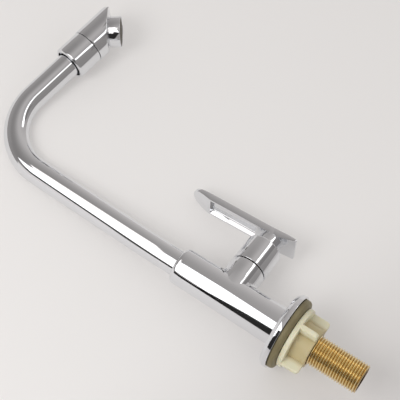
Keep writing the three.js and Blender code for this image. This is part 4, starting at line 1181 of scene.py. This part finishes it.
# %% [markdown]
# Chrome shows its surroundings more than itself, so the surroundings are what is built here. The
# reflections in the photograph tell where each light stood: a large softbox, turned on its corner, above
# the photographer's left shoulder, which gives the broad white stripe; a long strip low on the right, which
# gives the thin line on the outlet head and the branch; and a small panel beside it. These three are only
# seen as reflections. A smaller and stronger key light, at the softbox's own place, lights the sheet and
# the matt pieces and throws the shadows. One light could do both, but then the shadows would be softer than
# those in the photograph.

# %% Lights
LIGHT_RADIANCE = 1.45
KEY_RADIANCE = 6.2
SOFTBOX_PLACE_M = (-0.625, -0.659, 0.288)


def facing_axes(direction, along, turn):
    """Axes of a rectangle that faces along `direction`, its width turned from `along` by some degrees."""
    across = (along - direction * along.dot(direction)).normalized()
    upright = direction.cross(across)
    angle = math.radians(turn)
    width_axis = across * math.cos(angle) + upright * math.sin(angle)
    return Matrix((width_axis, direction.cross(width_axis), direction)).transposed().to_4x4()


def area_light(name, place_m, aim_m, width, height, turn, radiance=LIGHT_RADIANCE):
    """A rectangle of light of plain brightness at one place in metres, which faces another."""
    middle = Vector(place_m)
    direction = (middle - Vector(aim_m)).normalized()
    data = bpy.data.lights.new(name, "AREA")
    data.shape = "RECTANGLE"
    data.size = width
    data.size_y = height
    data.energy = radiance * math.pi * width * height
    light = bpy.data.objects.new(name, data)
    bpy.context.collection.objects.link(light)
    light.matrix_world = Matrix.Translation(middle) @ facing_axes(direction, Vector((1, 0, 0)), turn)
    return light


mirrored_lights = [
    area_light("softbox", SOFTBOX_PLACE_M, (0.199, 0.154, 0.060), 0.904, 0.889, 35.3),
    area_light("strip", (0.369, -0.705, -0.291), (-0.152, 0.290, 0.321), 1.000, 0.158, -4.2),
    area_light("panel", (0.607, -0.539, -0.148), (0.096, 0.063, 0.245), 0.180, 0.153, 44.4),
]
for light in mirrored_lights:
    light.visible_diffuse = False
key = area_light("key", SOFTBOX_PLACE_M, (0.100, 0.050, 0.100), 0.42, 0.42, 0.0, KEY_RADIANCE)
key.visible_glossy = False
print("lights:", key.name, [light.name for light in mirrored_lights])

# %% [markdown]
# Cards draw the crisp edges that make metal look like metal. Dark ones stand beside the lights, pale ones
# give the softer bands, and a small white and a small dark one serve the nozzle. Only mirror reflections
# see them, so they throw no shadow on the sheet.

# %% Cards
CARD_TINT = (1.03, 0.98, 0.96)


def card(name, place_m, aim_m, width, height, turn, tone):
    """A rectangle of one tone at a place in metres, which faces another. Only mirror reflections see it."""
    middle = Vector(place_m)
    direction = (middle - Vector(aim_m)).normalized()
    deselect_all()
    bpy.ops.mesh.primitive_plane_add(size=1.0)
    piece = bpy.context.object
    piece.name = name
    piece.matrix_world = (
        Matrix.Translation(middle)
        @ facing_axes(direction, Vector((0, 0, 1)), turn)
        @ Matrix.Diagonal((width, height, 1, 1))
    )
    material = bpy.data.materials.new(name)
    material.use_nodes = True
    nodes_of_card = material.node_tree.nodes
    nodes_of_card.remove(nodes_of_card["Principled BSDF"])
    card_glow = nodes_of_card.new("ShaderNodeEmission")
    card_glow.inputs["Color"].default_value = (*(tone * share for share in CARD_TINT), 1)
    card_surface = nodes_of_card["Material Output"].inputs["Surface"]
    material.node_tree.links.new(card_glow.outputs["Emission"], card_surface)
    piece.data.materials.append(material)
    piece.visible_camera = False
    piece.visible_diffuse = False
    piece.visible_shadow = False
    piece.visible_transmission = False
    return piece


cards = [
    card("pale_card", (-1.015, -0.089, 0.822), (0.403, 0.096, 0.232), 0.581, 0.496, 6.6, 0.809),
    card("overhead_slit", (-0.046, -0.425, 0.865), (0.008, -0.214, 0.142), 0.090, 0.429, 11.4, 0.312),
    card("lower_card", (0.773, -0.713, -0.748), (0.211, -0.047, 0.507), 0.408, 0.735, 24.7, 0.233),
    card("nozzle_white", (-0.119, -0.303, 0.271), (0.050, 0.005, 0.426), 0.218, 0.258, 14.7, 1.45),
    card("nozzle_black", (-0.463, -0.485, -0.016), (0.067, -0.093, 0.358), 0.228, 0.178, -5.1, 0.04),
    card("side_black", (-0.663, -0.202, 0.062), (-0.198, -0.295, 0.422), 0.487, 1.080, -11.4, 0.025),
    card("edge_black", (-0.628, -0.145, 0.391), (-0.002, -0.031, 0.062), 0.565, 0.100, -39.9, 0.01),
]
print("cards:", len(cards))

# %% [markdown]
# The room itself is a soft warm grey, darker above and below, and lighter behind on the upper right. The
# metal sees this room, the camera sees a pale surround, and all else gets a plain light from every side.
# Lobes of brightness are simpler than a painted room, and as soft.

# %% World
ROOM_TONE = 0.543
ROOM_TINT = (1.03, 0.98, 0.955)
ROOM_LOBES = [
    ((0.291, 0.262, 0.920), 0.196),
    ((-0.099, -0.071, -0.993), -0.259),
    ((-0.078, -0.260, 0.962), -0.365),
]
PLAIN_LIGHT = (0.68, 0.675, 0.67)
PALE_SURROUND = (0.86, 0.85, 0.84)
world = bpy.data.worlds.new("room")
bpy.context.scene.world = world
world.use_nodes = True
tree = world.node_tree


def room_tone(plain_tone, lobes):
    """The room's brightness: a plain tone, and soft lobes, each with a direction and what it adds there."""
    view_direction = tree.nodes.new("ShaderNodeTexCoord").outputs["Generated"]
    total = plain_tone
    for direction, tone in lobes:
        lobe = map_range(tree, reach_along(tree, view_direction, direction), 0, tone, 0, 1, smooth=True)
        total = math_node(tree, "ADD", lobe, total)
    return total


def background(color):
    node = tree.nodes.new("ShaderNodeBackground")
    node.inputs["Color"].default_value = (*color, 1)
    return node


tint = tree.nodes.new("ShaderNodeVectorMath")
tint.operation = "SCALE"
tint.inputs[0].default_value = ROOM_TINT
tree.links.new(room_tone(ROOM_TONE, ROOM_LOBES), tint.inputs["Scale"])
mirrored_room = tree.nodes["Background"]
tree.links.new(tint.outputs["Vector"], mirrored_room.inputs["Color"])
plain_light = background(PLAIN_LIGHT).outputs["Background"]
surround = background(PALE_SURROUND).outputs["Background"]
paths = tree.nodes.new("ShaderNodeLightPath")
lit = mix_shaders(tree, paths.outputs["Is Glossy Ray"], plain_light, mirrored_room.outputs["Background"])
shown = mix_shaders(tree, paths.outputs["Is Camera Ray"], lit, surround)
tree.links.new(shown, tree.nodes["World Output"].inputs["Surface"])
bpy.context.scene.view_settings.view_transform = "Standard"
print("room lobes:", len(ROOM_LOBES))

# %% Nothing selected at the end
deselect_all()
